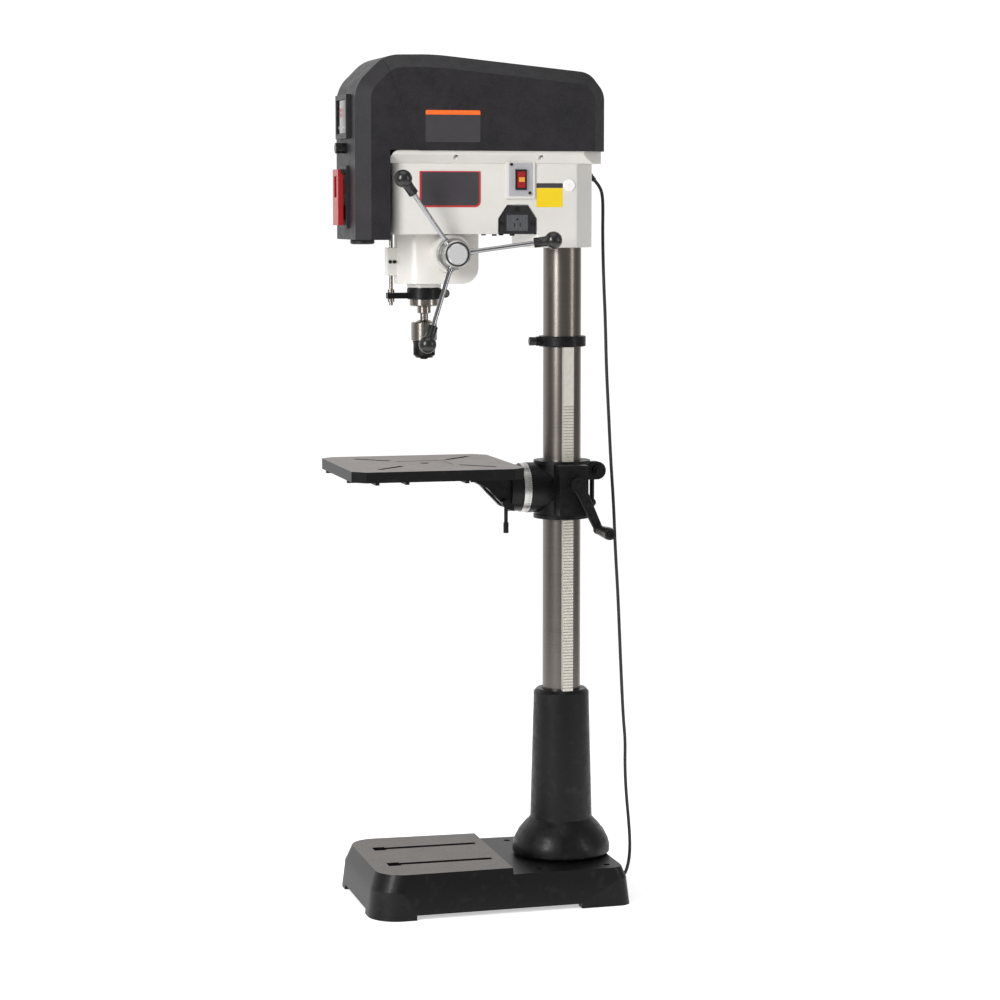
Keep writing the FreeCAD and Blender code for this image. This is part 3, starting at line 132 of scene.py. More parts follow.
mains_lead = smooth_line("mains_lead", lead_points, LEAD_RADIUS)
print("lead is %.0f mm thick" % (2 * LEAD_RADIUS / MM))

# %% [markdown]
# ## Small makers
# Most of the added pieces are turned, like a knob, or cut from a sheet, like a plate. Two helpers cover
# them: one revolves a short outline round an axis, the other gives thickness to a flat outline. Both put
# the shape in the mesh and leave the object at the origin.

# %% Helpers for turned and flat pieces
def set_smooth(mesh, degrees=32):
    """Rounds the shading of gentle edges and keeps the sharp ones."""
    for face in mesh.polygons:
        face.use_smooth = True
    mesh.set_sharp_from_angle(angle=math.radians(degrees))


def from_bmesh(name, made, matrix=Matrix.Identity(4)):
    bmesh.ops.remove_doubles(made, verts=made.verts, dist=1e-7)
    bmesh.ops.recalc_face_normals(made, faces=made.faces)
    mesh = bpy.data.meshes.new(name)
    made.to_mesh(mesh)
    made.free()
    mesh.transform(matrix)
    set_smooth(mesh)
    return link(bpy.data.objects.new(name, mesh))


def turn_to(axis):
    """The rotation that takes the Z axis to another axis."""
    return Vector((0, 0, 1)).rotation_difference(Vector(axis)).to_matrix().to_4x4()


def along(at, axis):
    """The matrix that stands a shape made along Z on a point, along another axis."""
    return Matrix.Translation(at) @ turn_to(axis)


def turned_piece(name, outline, at, axis, steps=56):
    """Revolves (radius, height) points, in millimetres; a radius of 0 makes a closed pole."""
    made = bmesh.new()
    rings = []
    for radius, height in outline:
        count = 1 if radius == 0 else steps
        rings.append([made.verts.new((radius * MM * math.cos(2 * math.pi * i / count),
                                      radius * MM * math.sin(2 * math.pi * i / count), height * MM))
                      for i in range(count)])
    for low, high in zip(rings, rings[1:] + rings[:1]):
        for i in range(steps):
            corners = [low[i % len(low)], low[(i + 1) % len(low)], high[(i + 1) % len(high)],
                       high[i % len(high)]]
            distinct = list(dict.fromkeys(corners))
            if len(distinct) > 2:
                made.faces.new(distinct)
    return from_bmesh(name, made, along(at, axis))


def flat_piece(name, outline, thickness, matrix, edge=0.0):
    """Gives a flat outline, in millimetres, a thickness along its own Z, with a small rounded edge."""
    made = bmesh.new()
    face = made.faces.new([made.verts.new((x * MM, y * MM, 0)) for x, y in outline])
    lifted = bmesh.ops.extrude_face_region(made, geom=[face])
    bmesh.ops.translate(made, vec=(0, 0, thickness * MM),
                        verts=[v for v in lifted["geom"] if isinstance(v, bmesh.types.BMVert)])
    if edge:
        top = [e for e in made.edges if all(v.co.z > 0.5 * thickness * MM for v in e.verts)]
        bmesh.ops.bevel(made, geom=top, offset=edge * MM, segments=2, affect="EDGES", profile=0.5)
    return from_bmesh(name, made, matrix)


def block(name, low, high, edge=0.0):
    """A box between two corners, in metres, with rounded edges."""
    made = bmesh.new()
    bmesh.ops.create_cube(made, size=1)
    low, high = Vector(low), Vector(high)
    bmesh.ops.scale(made, vec=high - low, verts=made.verts)
    bmesh.ops.translate(made, vec=(low + high) / 2, verts=made.verts)
    if edge:
        bmesh.ops.bevel(made, geom=list(made.edges), offset=edge * MM, segments=3, affect="EDGES",
                        profile=0.5)
    return from_bmesh(name, made)


def rounded(width, height, corners, steps=6):
    """A rectangle from 0, 0 up and to the right, with one radius for each corner, anticlockwise."""
    centres = [(0, 0), (width, 0), (width, height), (0, height)]
    points = []
    for quarter, ((x, y), radius) in enumerate(zip(centres, corners)):
        inward = ((1, 1), (-1, 1), (-1, -1), (1, -1))[quarter]
        if radius == 0:
            points.append((x, y))
            continue
        for i in range(steps + 1):
            angle = math.radians(180 + 90 * quarter + 90 * i / steps)
            points.append((x + inward[0] * radius + radius * math.cos(angle),
                           y + inward[1] * radius + radius * math.sin(angle)))
    return points


print("helpers: turned piece, flat piece, block")

# %% [markdown]
# ## Strain relief and plug
# The strain relief is moulded rubber: a tapered sleeve with rings that let it bend without kinking the
# lead. The plug is moulded in one with its cable end, and only its pins are metal, so the pins are a piece
# of their own.

# %% Strain relief and plug
SLEEVE_RINGS, NECK_RINGS = 6, 3
sleeve_outline = [(7.4, 4), (7.4, 9.5)]
for ring in range(SLEEVE_RINGS):
    start = 10.5 + 4.6 * ring
    wide = 6.7 - 0.33 * ring
    sleeve_outline += [(wide - 0.9, start), (wide - 0.9, start + 1.5), (wide, start + 2.1),
                       (wide, start + 4.0)]
sleeve_outline += [(4.5, 38.4), (4.3, 39.0), (3.55, 39.0), (3.55, 34.0), (0, 34.0), (0, 4)]
relief_sleeve = turned_piece("relief_sleeve", sleeve_outline, RELIEF_FOOT, RELIEF_AXIS)

COLLAR_RADIUS, COLLAR_GAP = 9, 0.3
relief_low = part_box("strain_relief")[0]
relief_collar = turned_piece("relief_collar", [(0, 0), (COLLAR_RADIUS, 0), (COLLAR_RADIUS, 2.2), (8.2, 3.0),
                                               (0, 3.0)],
                             (0, relief_low.y, relief_low.z + (COLLAR_RADIUS + COLLAR_GAP) * MM), (0, 1, 0))

plug_low, plug_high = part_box("plug")
plug_x = (plug_low.x + plug_high.x) / 2
SHELL_START, SHELL_END, SHELL_EDGE = 0.012, 0.042, 3.5
plug_shell = block("plug_shell", (plug_low.x, PLUG_END - SHELL_END, plug_low.z),
                   (plug_high.x, PLUG_END - SHELL_START, plug_high.z), SHELL_EDGE)
neck_outline = [(4.4, 0), (6.0, 0.6)]
for ring in range(NECK_RINGS):
    step = 3.6 * ring
    neck_outline += [(6.6 + ring, 1.0 + step), (6.8 + ring, 3.4 + step), (6.0 + ring, 3.7 + step)]
neck_outline += [(9.6, 12.5), (0, 12.5), (0, 0)]
plug_neck = turned_piece("plug_neck", neck_outline, (plug_x, PLUG_END, PLUG_HEIGHT), (0, -1, 0))

# Two flat pins and a longer round earth pin above them. Their middles are so far from the lead's end, along
# -Y.
FLAT_PIN, FLAT_PIN_ASIDE, FLAT_PIN_BACK, FLAT_PIN_HEIGHT = (1.6, 17.8, 6.4), 6.35, 0.0501, 0.01225
EARTH_RADIUS, EARTH_LENGTH, EARTH_BACK, EARTH_HEIGHT = 2.4, 21.8, 0.0519, 0.0185
pins = bmesh.new()
for side in (-1, 1):
    pin = bmesh.ops.create_cube(pins, size=1)["verts"]
    bmesh.ops.scale(pins, vec=[size * MM for size in FLAT_PIN], verts=pin)
    pin_x = plug_x + side * FLAT_PIN_ASIDE * MM
    bmesh.ops.translate(pins, vec=(pin_x, PLUG_END - FLAT_PIN_BACK, FLAT_PIN_HEIGHT), verts=pin)
earth = bmesh.ops.create_cone(pins, segments=24, radius1=EARTH_RADIUS * MM, radius2=EARTH_RADIUS * MM,
                              depth=EARTH_LENGTH * MM, cap_ends=True)["verts"]
bmesh.ops.transform(pins, matrix=along((plug_x, PLUG_END - EARTH_BACK, EARTH_HEIGHT), (0, 1, 0)),
                    verts=earth)
plug_pins = from_bmesh("plug_pins", pins)

# The tie is a band with a round section, squeezed to the two turns that lie on each other.
tie_place = Vector((coil_centre.x, coil_centre.y - COIL_RADIUS, 0.0091))
TIE_SQUEEZE = (1, 0.68, 1.42, 1)
coil_tie = turned_piece("coil_tie", [(5.2, -5), (6.0, -5), (6.2, 0), (6.0, 5), (5.2, 5)],
                        (0, 0, 0), (1, 0, 0), steps=24)
coil_tie.data.transform(Matrix.Translation(tie_place) @ Matrix.Diagonal(TIE_SQUEEZE))
print("plug is %.0f mm wide" % ((plug_high.x - plug_low.x) / MM))

# %% [markdown]
# ## Materials
# Each finish starts from what the real one is. Colours are written as sRGB hex, as one reads them off a
# paint card, and one function turns them to the linear values that a shader takes. Patterns take their size
# in millimetres from the real grain.

# %% Tools for materials
def linear(code):
    """An sRGB hex colour as linear RGBA."""
    parts = [int(code[i:i + 2], 16) / 255 for i in (1, 3, 5)]
    return tuple(c / 12.92 if c <= 0.04045 else ((c + 0.055) / 1.055) ** 2.4 for c in parts) + (1.0,)


def add(tree, kind, inputs=None, **settings):
    """Adds a node, sets its settings, and fills its inputs with values or links."""
    node = tree.nodes.new(kind)
    for name, value in settings.items():
        setattr(node, name, value)
    for socket, value in (inputs or {}).items():
        if isinstance(value, bpy.types.NodeSocket):
            tree.links.new(value, node.inputs[socket])
        else:
            node.inputs[socket].default_value = value
    return node


class Finish:
    """A material in the making: a shader, the piece's own coordinates, a normal that patterns add to."""

    def __init__(self, name, colour, roughness, metallic=0.0, coat=0.0, edge=0.0):
        self.material = bpy.data.materials.new(name)
        self.material.use_nodes = True
        self.tree = self.material.node_tree
        self.tree.nodes.clear()
        self.place = add(self.tree, "ShaderNodeTexCoord").outputs["Object"]
        self.shader = add(self.tree, "ShaderNodeBsdfPrincipled", {
            "Base Color": linear(colour), "Roughness": roughness, "Metallic": metallic, "Coat Weight": coat,
            "Coat Roughness": 0.12})
        add(self.tree, "ShaderNodeOutputMaterial", {"Surface": self.shader.outputs["BSDF"]})
        self.normal = None
        if edge:
            self.normal = add(self.tree, "ShaderNodeBevel", {"Radius": edge * MM},
                              samples=4).outputs["Normal"]
            self.tree.links.new(self.normal, self.shader.inputs["Normal"])

    def grain(self, size, low=0.0, high=1.0, stretch=(1, 1, 1), detail=3.0, window=(0.35, 0.65)):
        """Noise whose grains measure size millimetres, spread over low to high."""
        mapped = add(self.tree, "ShaderNodeMapping", {"Vector": self.place, "Scale": stretch})
        noise = add(self.tree, "ShaderNodeTexNoise", {
            "Vector": mapped.outputs["Vector"], "Scale": 1 / (size * MM), "Detail": detail,
            "Roughness": 0.55})
        return add(self.tree, "ShaderNodeMapRange", {
            "Value": noise.outputs["Fac"], "From Min": window[0], "From Max": window[1], "To Min": low,
            "To Max": high}).outputs["Result"]

    def tint(self, share, colour):
        """Mixes another colour over the base colour by a pattern."""
        socket = self.shader.inputs["Base Color"]
        under = socket.links[0].from_socket if socket.is_linked else tuple(socket.default_value)
        mixed = add(self.tree, "ShaderNodeMix", {0: share, 6: under, 7: linear(colour)}, data_type="RGBA")
        self.tree.links.new(mixed.outputs[2], socket)

    def set(self, name, pattern):
        """Lets a pattern drive one of the shader's inputs."""
        self.tree.links.new(pattern, self.shader.inputs[name])

    def relief(self, pattern, depth):
        """Raises the surface by a pattern, depth in millimetres from its low to its high."""
        inputs = {"Height": pattern, "Distance": depth * MM, "Strength": 1.0}
        if self.normal is not None:
            inputs["Normal"] = self.normal
        self.normal = add(self.tree, "ShaderNodeBump", inputs).outputs["Normal"]
        self.tree.links.new(self.normal, self.shader.inputs["Normal"])

    def mask(self, *tests):
        """1 where every test holds; a test is (X, Y or Z of place or normal, low, high)."""
        product = None
        for source, axis, low, high in tests:
            if source == "place":
                vector = self.place
            else:
                vector = add(self.tree, "ShaderNodeNewGeometry").outputs["True Normal"]
            part = add(self.tree, "ShaderNodeSeparateXYZ", {"Vector": vector}).outputs[axis]
            middle, half = (low + high) / 2, (high - low) / 2
            inside = add(self.tree, "ShaderNodeMath", {0: part, 1: middle, 2: half},
                         operation="COMPARE").outputs[0]
            if product is None:
                product = inside
            else:
                product = add(self.tree, "ShaderNodeMath", {0: product, 1: inside},
                              operation="MULTIPLY").outputs[0]
        return product


finishes = {}


def keep(finish):
    """Files a finish under its name, for the pieces that wear it."""
    finishes[finish.material.name] = finish.material
    print("finish:", finish.material.name)

# %% [markdown]
# ### Black machine paint on cast iron
# Sand castings are painted, not ground, so the paint follows a shallow unevenness of the sand, with fine
# orange peel on top. The eye reads soft, broken highlights and a few grey scuffs where things have rubbed.

# %% Black machine paint
def black_paint(name):
    paint = Finish(name, "#080708", 0.46, coat=0.05, edge=1.1)
    paint.shader.inputs["Specular IOR Level"].default_value = 0.25
    paint.tint(paint.grain(26, 0.0, 0.2, window=(0.56, 0.74), detail=6), "#3a3838")
    paint.set("Roughness", paint.grain(14, 0.34, 0.52))
    paint.relief(paint.grain(9, detail=2), 0.12)
    paint.relief(paint.grain(1.6, detail=2), 0.022)
    return paint


keep(black_paint("black_machine_paint"))

# %% [markdown]
# ### Ground cast iron
# The table and the base plate are black castings whose tops are ground flat. Ground iron is a warm grey
# with fine crossing grinding lines. The frame has table and paint in one piece, so a mask picks the ground
# face: it faces up and lies at the very top.

# %% Ground cast iron over black paint
def ground_top(name, top, lowest, grain_axis, light, dark):
    iron = black_paint(name)
    ground = iron.mask(("place", "Z", lowest, top + 0.002), ("normal", "Z", 0.9, 1.1))
    lines = iron.grain(0.9, 0.0, 1.0, stretch=(0.06, 1, 1) if grain_axis == "X" else (1, 0.06, 1), detail=4)
    cloud = iron.grain(70, 0.0, 0.55)
    warm = add(iron.tree, "ShaderNodeMix", {0: cloud, 6: linear(light), 7: linear(dark)}, data_type="RGBA")
    faint = add(iron.tree, "ShaderNodeMath", {0: lines, 1: 0.35}, operation="MULTIPLY").outputs[0]
    fine = add(iron.tree, "ShaderNodeMix", {0: faint, 6: warm.outputs[2], 7: linear("#9a928d")},
               data_type="RGBA")
    painted = iron.shader.inputs["Base Color"].links[0].from_socket
    colour = add(iron.tree, "ShaderNodeMix", {0: ground, 6: painted, 7: fine.outputs[2]}, data_type="RGBA")
    iron.tree.links.new(colour.outputs[2], iron.shader.inputs["Base Color"])
    metal = add(iron.tree, "ShaderNodeMath", {0: ground, 1: 0.45}, operation="MULTIPLY")
    iron.set("Metallic", metal.outputs[0])
    gloss = add(iron.tree, "ShaderNodeMix", {0: ground, 2: 0.44, 3: 0.5}, data_type="FLOAT")
    iron.set("Roughness", gloss.outputs[0])
    iron.relief(add(iron.tree, "ShaderNodeMath", {0: lines, 1: ground}, operation="MULTIPLY").outputs[0],
                0.01)
    return iron


table_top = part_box("table")[1].z
plate_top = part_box("base_casting")[1].z
keep(ground_top("ground_table_iron", table_top, table_top - 2 * MM, "Y", "#837b76", "#6e6763"))
keep(ground_top("ground_base_iron", plate_top, plate_top - 2 * MM, "X", "#625c58", "#524d4a"))

# %% [markdown]
# ### Textured black covers
# The two-piece hood is moulded ABS with a fine leather-like texture that hides scratches. The texture is
# under a millimetre; it is drawn a little coarser so that it still shows.

# %% Textured cover plastic
cover = Finish("textured_cover_plastic", "#131113", 0.55, edge=1.4)
cover.shader.inputs["Specular IOR Level"].default_value = 0.4
cover.tint(cover.grain(55, 0.0, 0.5, detail=6), "#262327")
cover.tint(cover.grain(2.2, 0.0, 0.35, detail=3), "#312e32")
cover.set("Roughness", cover.grain(20, 0.44, 0.56))
cover.relief(cover.grain(1.6, detail=3), 0.09)
keep(cover)

# %% [markdown]
# ### White enamel
# The head casting has a thick off-white enamel: glossy, a little soft over the edges, with slow orange
# peel.

# %% White enamel
enamel = Finish("white_enamel", "#dcd9d4", 0.3, coat=0.2, edge=2.2)
enamel.tint(enamel.grain(60, 0.0, 0.25), "#cfccc6")
enamel.relief(enamel.grain(7, detail=2), 0.05)
enamel.relief(enamel.grain(2.4, detail=1), 0.012)
keep(enamel)

# %% [markdown]
# ### Turned and polished steel
# The column is a drawn tube, turned and polished round its axis. Its fine lines run round it and spread
# each highlight into an upright band. Real lines are finer than the eye's limit: here the column's are
# drawn a millimetre or two apart and only in colour and gloss, and those of the small turned parts are
# closer, with relief.

# %% Polished steel
ROUND_Z = (0.02, 0.02, 1)  # stretches the grain in X and Y, so that only its height is left


def steel(name, colour, roughness, line, depth=0.0):
    metal = Finish(name, colour, roughness, metallic=1.0, edge=0.4)
    wide = (0.2, 0.8)
    metal.tint(metal.grain(line * 2, 0.0, 0.18, stretch=ROUND_Z, detail=2, window=wide), "#5d5854")
    metal.tint(metal.grain(120, 0.0, 0.25, detail=2), "#6b655f")
    metal.set("Roughness", metal.grain(line * 3, roughness - 0.03, roughness + 0.04, stretch=ROUND_Z,
                                       window=wide))
    if depth:
        metal.relief(metal.grain(line, stretch=ROUND_Z, detail=2, window=wide), depth)
    return metal


keep(steel("polished_column_steel", "#7c7671", 0.29, line=1.2))
keep(steel("turned_steel", "#9c9690", 0.24, line=0.35, depth=0.0003))
rack_finish = Finish("rack_steel", "#d8d4cc", 0.5, metallic=0.5, edge=0.3)
rack_finish.tint(rack_finish.grain(9, 0.0, 0.3), "#bdb8af")
rack_finish.relief(rack_finish.grain(1.5), 0.01)
keep(rack_finish)
blacked = Finish("blacked_steel", "#2c2a29", 0.38, metallic=0.85, edge=0.4)
blacked.tint(blacked.grain(5, 0.0, 0.4), "#403d3b")
blacked.relief(blacked.grain(0.8), 0.008)
keep(blacked)

# %% [markdown]
# ### Chrome and machined aluminium
# Chrome is a mirror with a trace of haze, so it only needs its base colour, a low roughness and faint
# smears. Machined aluminium keeps the tool's fine rings.

# %% Chrome and aluminium
chrome = Finish("chrome_plate", "#a3a3a5", 0.12, metallic=1.0, edge=0.3)
chrome.set("Roughness", chrome.grain(18, 0.09, 0.17))
keep(chrome)
satin = Finish("satin_chrome", "#dededf", 0.3, metallic=0.45, edge=0.3)
satin.tint(satin.grain(8, 0.0, 0.25), "#cfcfd1")
keep(satin)
aluminium = Finish("machined_aluminium", "#c9c8c6", 0.3, metallic=1.0, edge=0.5)
aluminium.tint(aluminium.grain(30, 0.0, 0.35), "#b2afab")
aluminium.set("Roughness", aluminium.grain(1.2, 0.24, 0.4, stretch=(1, 0.1, 1)))
aluminium.relief(aluminium.grain(0.8, stretch=(1, 0.1, 1)), 0.006)
keep(aluminium)

# %% [markdown]
# ### Switch plate
# The plate behind the rocker is pale brushed aluminium and the bezel that stands on it is black nylon. They
# are one node, so the mask is the bezel's place: everything that stands higher than the plate.

# %% Switch plate
PLATE_OVER_PANEL, BEZEL_MARGIN = 9, 0.2
plate_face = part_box("socket_panel")[1].x + PLATE_OVER_PANEL * MM
switch = Finish("switch_plate_metal", "#c9c9cd", 0.34, metallic=0.4, edge=0.4)
switch.tint(switch.grain(0.7, 0.0, 0.3, stretch=(1, 0.08, 1)), "#b5b5ba")
bezel = switch.mask(("place", "X", plate_face + BEZEL_MARGIN * MM, 1.0))
switch.tint(bezel, "#171718")
shine = add(switch.tree, "ShaderNodeMix", {0: bezel, 2: 0.4, 3: 0.0}, data_type="FLOAT")
switch.set("Metallic", shine.outputs[0])
keep(switch)

# %% [markdown]
# ### Moulded plastics and rubber
# Knobs are black phenolic with a high shine. Panels, buttons and the paddle are ABS with a slight grain.
# The lead is PVC, softer and duller.

# %% Plastics and rubber
def moulded(name, colour, roughness, coat=0.0, worn="#3a3a3a", edge=0.6, grit=0.9, depth=0.01):
    plastic = Finish(name, colour, roughness, coat=coat, edge=edge)
    plastic.tint(plastic.grain(12, 0.0, 0.12), worn)
    plastic.set("Roughness", plastic.grain(9, roughness - 0.04, roughness + 0.07))
    plastic.relief(plastic.grain(grit, detail=2), depth)
    return plastic


keep(moulded("black_phenolic", "#131212", 0.3, coat=0.2, depth=0.004))
keep(moulded("black_panel_plastic", "#1d1d1e", 0.46, grit=0.7, depth=0.02))
keep(moulded("grey_socket_plastic", "#5b5c60", 0.45, worn="#77787c"))
keep(moulded("red_paddle_plastic", "#9c1016", 0.32, coat=0.15, worn="#b02a2e"))
keep(moulded("green_button_plastic", "#14803a", 0.3, coat=0.2, worn="#2f9a54"))
keep(moulded("orange_key_plastic", "#e39a35", 0.32, coat=0.3, worn="#f0b662"))
keep(moulded("white_cap_plastic", "#f0efec", 0.36, worn="#dedbd6"))
keep(moulded("black_pvc", "#161616", 0.5, grit=0.6, depth=0.015))
keep(moulded("belt_rubber", "#141414", 0.7, grit=1.4, depth=0.08))
keep(moulded("circuit_board_green", "#0f5a34", 0.4, worn="#1d7a4a"))

# %% [markdown]
# ### Bearing bronze, brass and label film
# Bushes are sintered bronze, plug pins are brass. Labels are printed vinyl; here they are blank, one plain
# film for each colour.

# %% Bronze, brass and films
bronze = Finish("sintered_bronze", "#8a6a3c", 0.45, metallic=1.0)
bronze.tint(bronze.grain(1.2, 0.0, 0.5), "#6d5230")
bronze.relief(bronze.grain(0.6), 0.015)
keep(bronze)
brass = Finish("brass_pins", "#c9a960", 0.25, metallic=1.0, edge=0.3)
brass.tint(brass.grain(6, 0.0, 0.3), "#b08f4c")
keep(brass)
keep(moulded("orange_film", "#ee6a24", 0.4, worn="#f07c3c", edge=0))
keep(moulded("charcoal_film", "#39373b", 0.42, worn="#444247", edge=0))
keep(moulded("yellow_film", "#eccb0f", 0.4, worn="#efd437", edge=0))
keep(moulded("red_film", "#bf2a2c", 0.38, worn="#c93f40", edge=0))
keep(moulded("pale_film", "#cfcfcd", 0.42, worn="#bdbdbb", edge=0))
screen = Finish("smoked_window", "#0b0c0e", 0.08, coat=0.6)
screen.tint(screen.grain(25, 0.0, 0.2), "#14161a")
keep(screen)

# %% [markdown]
# ## Dress the frame
# Every node of the frame gets a finish. Its triangles come apart at their corners, so a Weld modifier joins
# them and an Edge Split modifier keeps the edges crisp while the curved faces shade smoothly.

# %% Give each node its finish
WEARS = {
    "black_machine_paint": ["column_flange", "rack_collar", "table_bracket", "table_arm", "table_crank",
                            "clamp_lever",
                            "quill_collar", "motor", "tilt_lever"],
    "ground_base_iron": ["base_casting"],
    "ground_table_iron": ["table", "table_insert"],
    "textured_cover_plastic": ["front_cover", "belt_cover"],
    "white_enamel": ["head_casting"],
    "polished_column_steel": ["column"],
    "rack_steel": ["rack", "lift_gear"],
    "turned_steel": ["feed_shaft", "quill", "quill_bearings", "depth_rod", "spindle", "chuck_body",
                     "return_spring"],
    "blacked_steel": ["flange_bolts", "head_screws", "bracket_bolts", "table_bolts", "chuck_sleeve",
                      "chuck_jaw_1",
                      "chuck_jaw_2", "chuck_jaw_3"],
    "chrome_plate": ["feed_rods"],
    "machined_aluminium": ["feed_hub", "tilt_ring", "spindle_pulley", "motor_pulley"],
    "switch_plate_metal": ["switch_plate"],
    "black_phenolic": ["feed_knobs", "crank_grip", "speed_knob", "collar_knob"],
    "black_panel_plastic": ["socket_panel", "switch_frame", "spring_housing", "display", "work_lamp"],
    "red_paddle_plastic": ["stop_paddle", "stop_button", "rocker"],
    "green_button_plastic": ["start_button"],
    "orange_key_plastic": ["safety_key"],
    "black_pvc": ["power_cord", "cord_coil", "plug", "strain_relief"],
    "belt_rubber": ["belt"],
    "circuit_board_green": ["control_board"],
    "sintered_bronze": ["head_bearings"],
}
for finish_name, wearers in WEARS.items():
    for wearer in wearers:
        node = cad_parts[wearer]
        node.data.materials.clear()
        node.data.materials.append(finishes[finish_name])
        for face in node.data.polygons:
            face.use_smooth = True
        weld = node.modifiers.new("weld", "WELD")
        weld.merge_threshold = 0.002 * MM
        split = node.modifiers.new("crisp_edges", "EDGE_SPLIT")
        split.split_angle = math.radians(28)
bare = set(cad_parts) - {wearer for wearers in WEARS.values() for wearer in wearers}
print("nodes without a finish:", sorted(bare))


def settle(piece, finish_name, body, slot, *replaced):
    """Gives a new piece its finish, its body and the nodes that it stands for; the slot argument is not
    used.
    """
    piece.data.materials.clear()
    piece.data.materials.append(finishes[finish_name])
    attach(piece, body)
    if replaced:
        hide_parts(*replaced)
    return piece


settle(mains_lead, "black_pvc", "machine", "rubber", "power_cord", "cord_coil")
for piece, stands_for in ((relief_sleeve, "strain_relief"), (relief_collar, "strain_relief"),
                          (plug_shell, "plug"), (plug_neck, "plug")):
    settle(piece, "black_pvc", "machine", "rubber", stands_for)
settle(plug_pins, "brass_pins", "machine", "bronze", "plug")
settle(coil_tie, "black_pvc", "machine", "rubber")

# %% [markdown]
# ## Repeating detail by Geometry Nodes
# Knurls, ribs, scale ticks and the dark prisms of painted shade in the screw sockets are one small shape
# many times over, which is what Geometry Nodes are for. Three trees cover them all: ribs round an axis,
# ticks along a line, and a dark prism of painted shade at every point. Each ends by making its instances
# real and setting their material, so the result is an ordinary mesh.

# %% Geometry Nodes trees
def new_tree(name, inputs, takes_points=False):
    """Starts a tree and gives it back with the outputs of its input node."""
    tree = bpy.data.node_groups.new(name, "GeometryNodeTree")
    if takes_points:
        tree.interface.new_socket("Points", in_out="INPUT", socket_type="NodeSocketGeometry")
    for label, kind in inputs.items():
        tree.interface.new_socket(label, in_out="INPUT", socket_type=kind)
    tree.interface.new_socket("Mesh", in_out="OUTPUT", socket_type="NodeSocketGeometry")
    return tree, add(tree, "NodeGroupInput").outputs


def close_tree(tree, points, instance, rotation, scale, finish):
    """Puts an instance on every point and turns them into one mesh with its finish."""
    placed = add(tree, "GeometryNodeInstanceOnPoints", {
        "Points": points, "Instance": instance, "Rotation": rotation, "Scale": scale})
    real = add(tree, "GeometryNodeRealizeInstances", {"Geometry": placed.outputs["Instances"]})
    coloured = add(tree, "GeometryNodeSetMaterial", {"Geometry": real.outputs["Geometry"],
                                                     "Material": finish})
    add(tree, "NodeGroupOutput", {"Mesh": coloured.outputs["Geometry"]})
    print("tree:", tree.name)


FLOAT, WHOLE, STUFF = "NodeSocketFloat", "NodeSocketInt", "NodeSocketMaterial"
LENGTHS = ("Radius", "Length", "Width", "Depth", "Pitch")

ribs_tree, given = new_tree("ribs_round_axis", {
    "Count": WHOLE, "Radius": FLOAT, "Length": FLOAT, "Width": FLOAT, "Depth": FLOAT, "Finish": STUFF})
circle = add(ribs_tree, "GeometryNodeMeshCircle", {"Vertices": given["Count"], "Radius": given["Radius"]})
rib_size = add(ribs_tree, "ShaderNodeCombineXYZ", {"X": given["Depth"], "Y": given["Width"],
                                                   "Z": given["Length"]})
rib = add(ribs_tree, "GeometryNodeMeshCube", {"Size": rib_size.outputs["Vector"]})
order = add(ribs_tree, "GeometryNodeInputIndex").outputs["Index"]
share = add(ribs_tree, "ShaderNodeMath", {0: order, 1: given["Count"]}, operation="DIVIDE")
angle = add(ribs_tree, "ShaderNodeMath", {0: share.outputs[0], 1: 2 * math.pi}, operation="MULTIPLY")
facing = add(ribs_tree, "ShaderNodeCombineXYZ", {"Z": angle.outputs[0]})
close_tree(ribs_tree, circle.outputs["Mesh"], rib.outputs["Mesh"], facing.outputs["Vector"], (1, 1, 1),
           given["Finish"])

ticks_tree, given = new_tree("ticks_along_line", {
    "Count": WHOLE, "Pitch": FLOAT, "Every": FLOAT, "Length": FLOAT, "Width": FLOAT, "Depth": FLOAT,
    "Finish": STUFF})
pitch = add(ticks_tree, "ShaderNodeCombineXYZ", {"Z": given["Pitch"]})
row = add(ticks_tree, "GeometryNodeMeshLine", {"Count": given["Count"], "Offset": pitch.outputs["Vector"]})
tick_size = add(ticks_tree, "ShaderNodeCombineXYZ", {"X": given["Depth"], "Y": given["Length"],
                                                     "Z": given["Width"]})
tick = add(ticks_tree, "GeometryNodeMeshCube", {"Size": tick_size.outputs["Vector"]})
order = add(ticks_tree, "GeometryNodeInputIndex").outputs["Index"]
left = add(ticks_tree, "ShaderNodeMath", {0: order, 1: given["Every"]}, operation="MODULO")
main_tick = add(ticks_tree, "ShaderNodeMath", {0: left.outputs[0], 1: 0.5}, operation="LESS_THAN")
reach = add(ticks_tree, "ShaderNodeMapRange", {"Value": main_tick.outputs[0], "To Min": 0.55,
                                               "To Max": 1.0})
stretch = add(ticks_tree, "ShaderNodeCombineXYZ", {"X": 1.0, "Y": reach.outputs["Result"], "Z": 1.0})
close_tree(ticks_tree, row.outputs["Mesh"], tick.outputs["Mesh"], (0, 0, 0), stretch.outputs["Vector"],
           given["Finish"])

# A dark six-sided prism of painted shade at every point, standing for the inside of a screw socket.
socket_shade_tree, given = new_tree("socket_shade_at_points", {
    "Sides": WHOLE, "Radius": FLOAT, "Depth": FLOAT, "Finish": STUFF}, takes_points=True)
prism = add(socket_shade_tree, "GeometryNodeMeshCylinder", {
    "Vertices": given["Sides"], "Radius": given["Radius"], "Depth": given["Depth"]})
close_tree(socket_shade_tree, given["Points"], prism.outputs["Mesh"], (0, 0, 0), (1, 1, 1), given["Finish"])


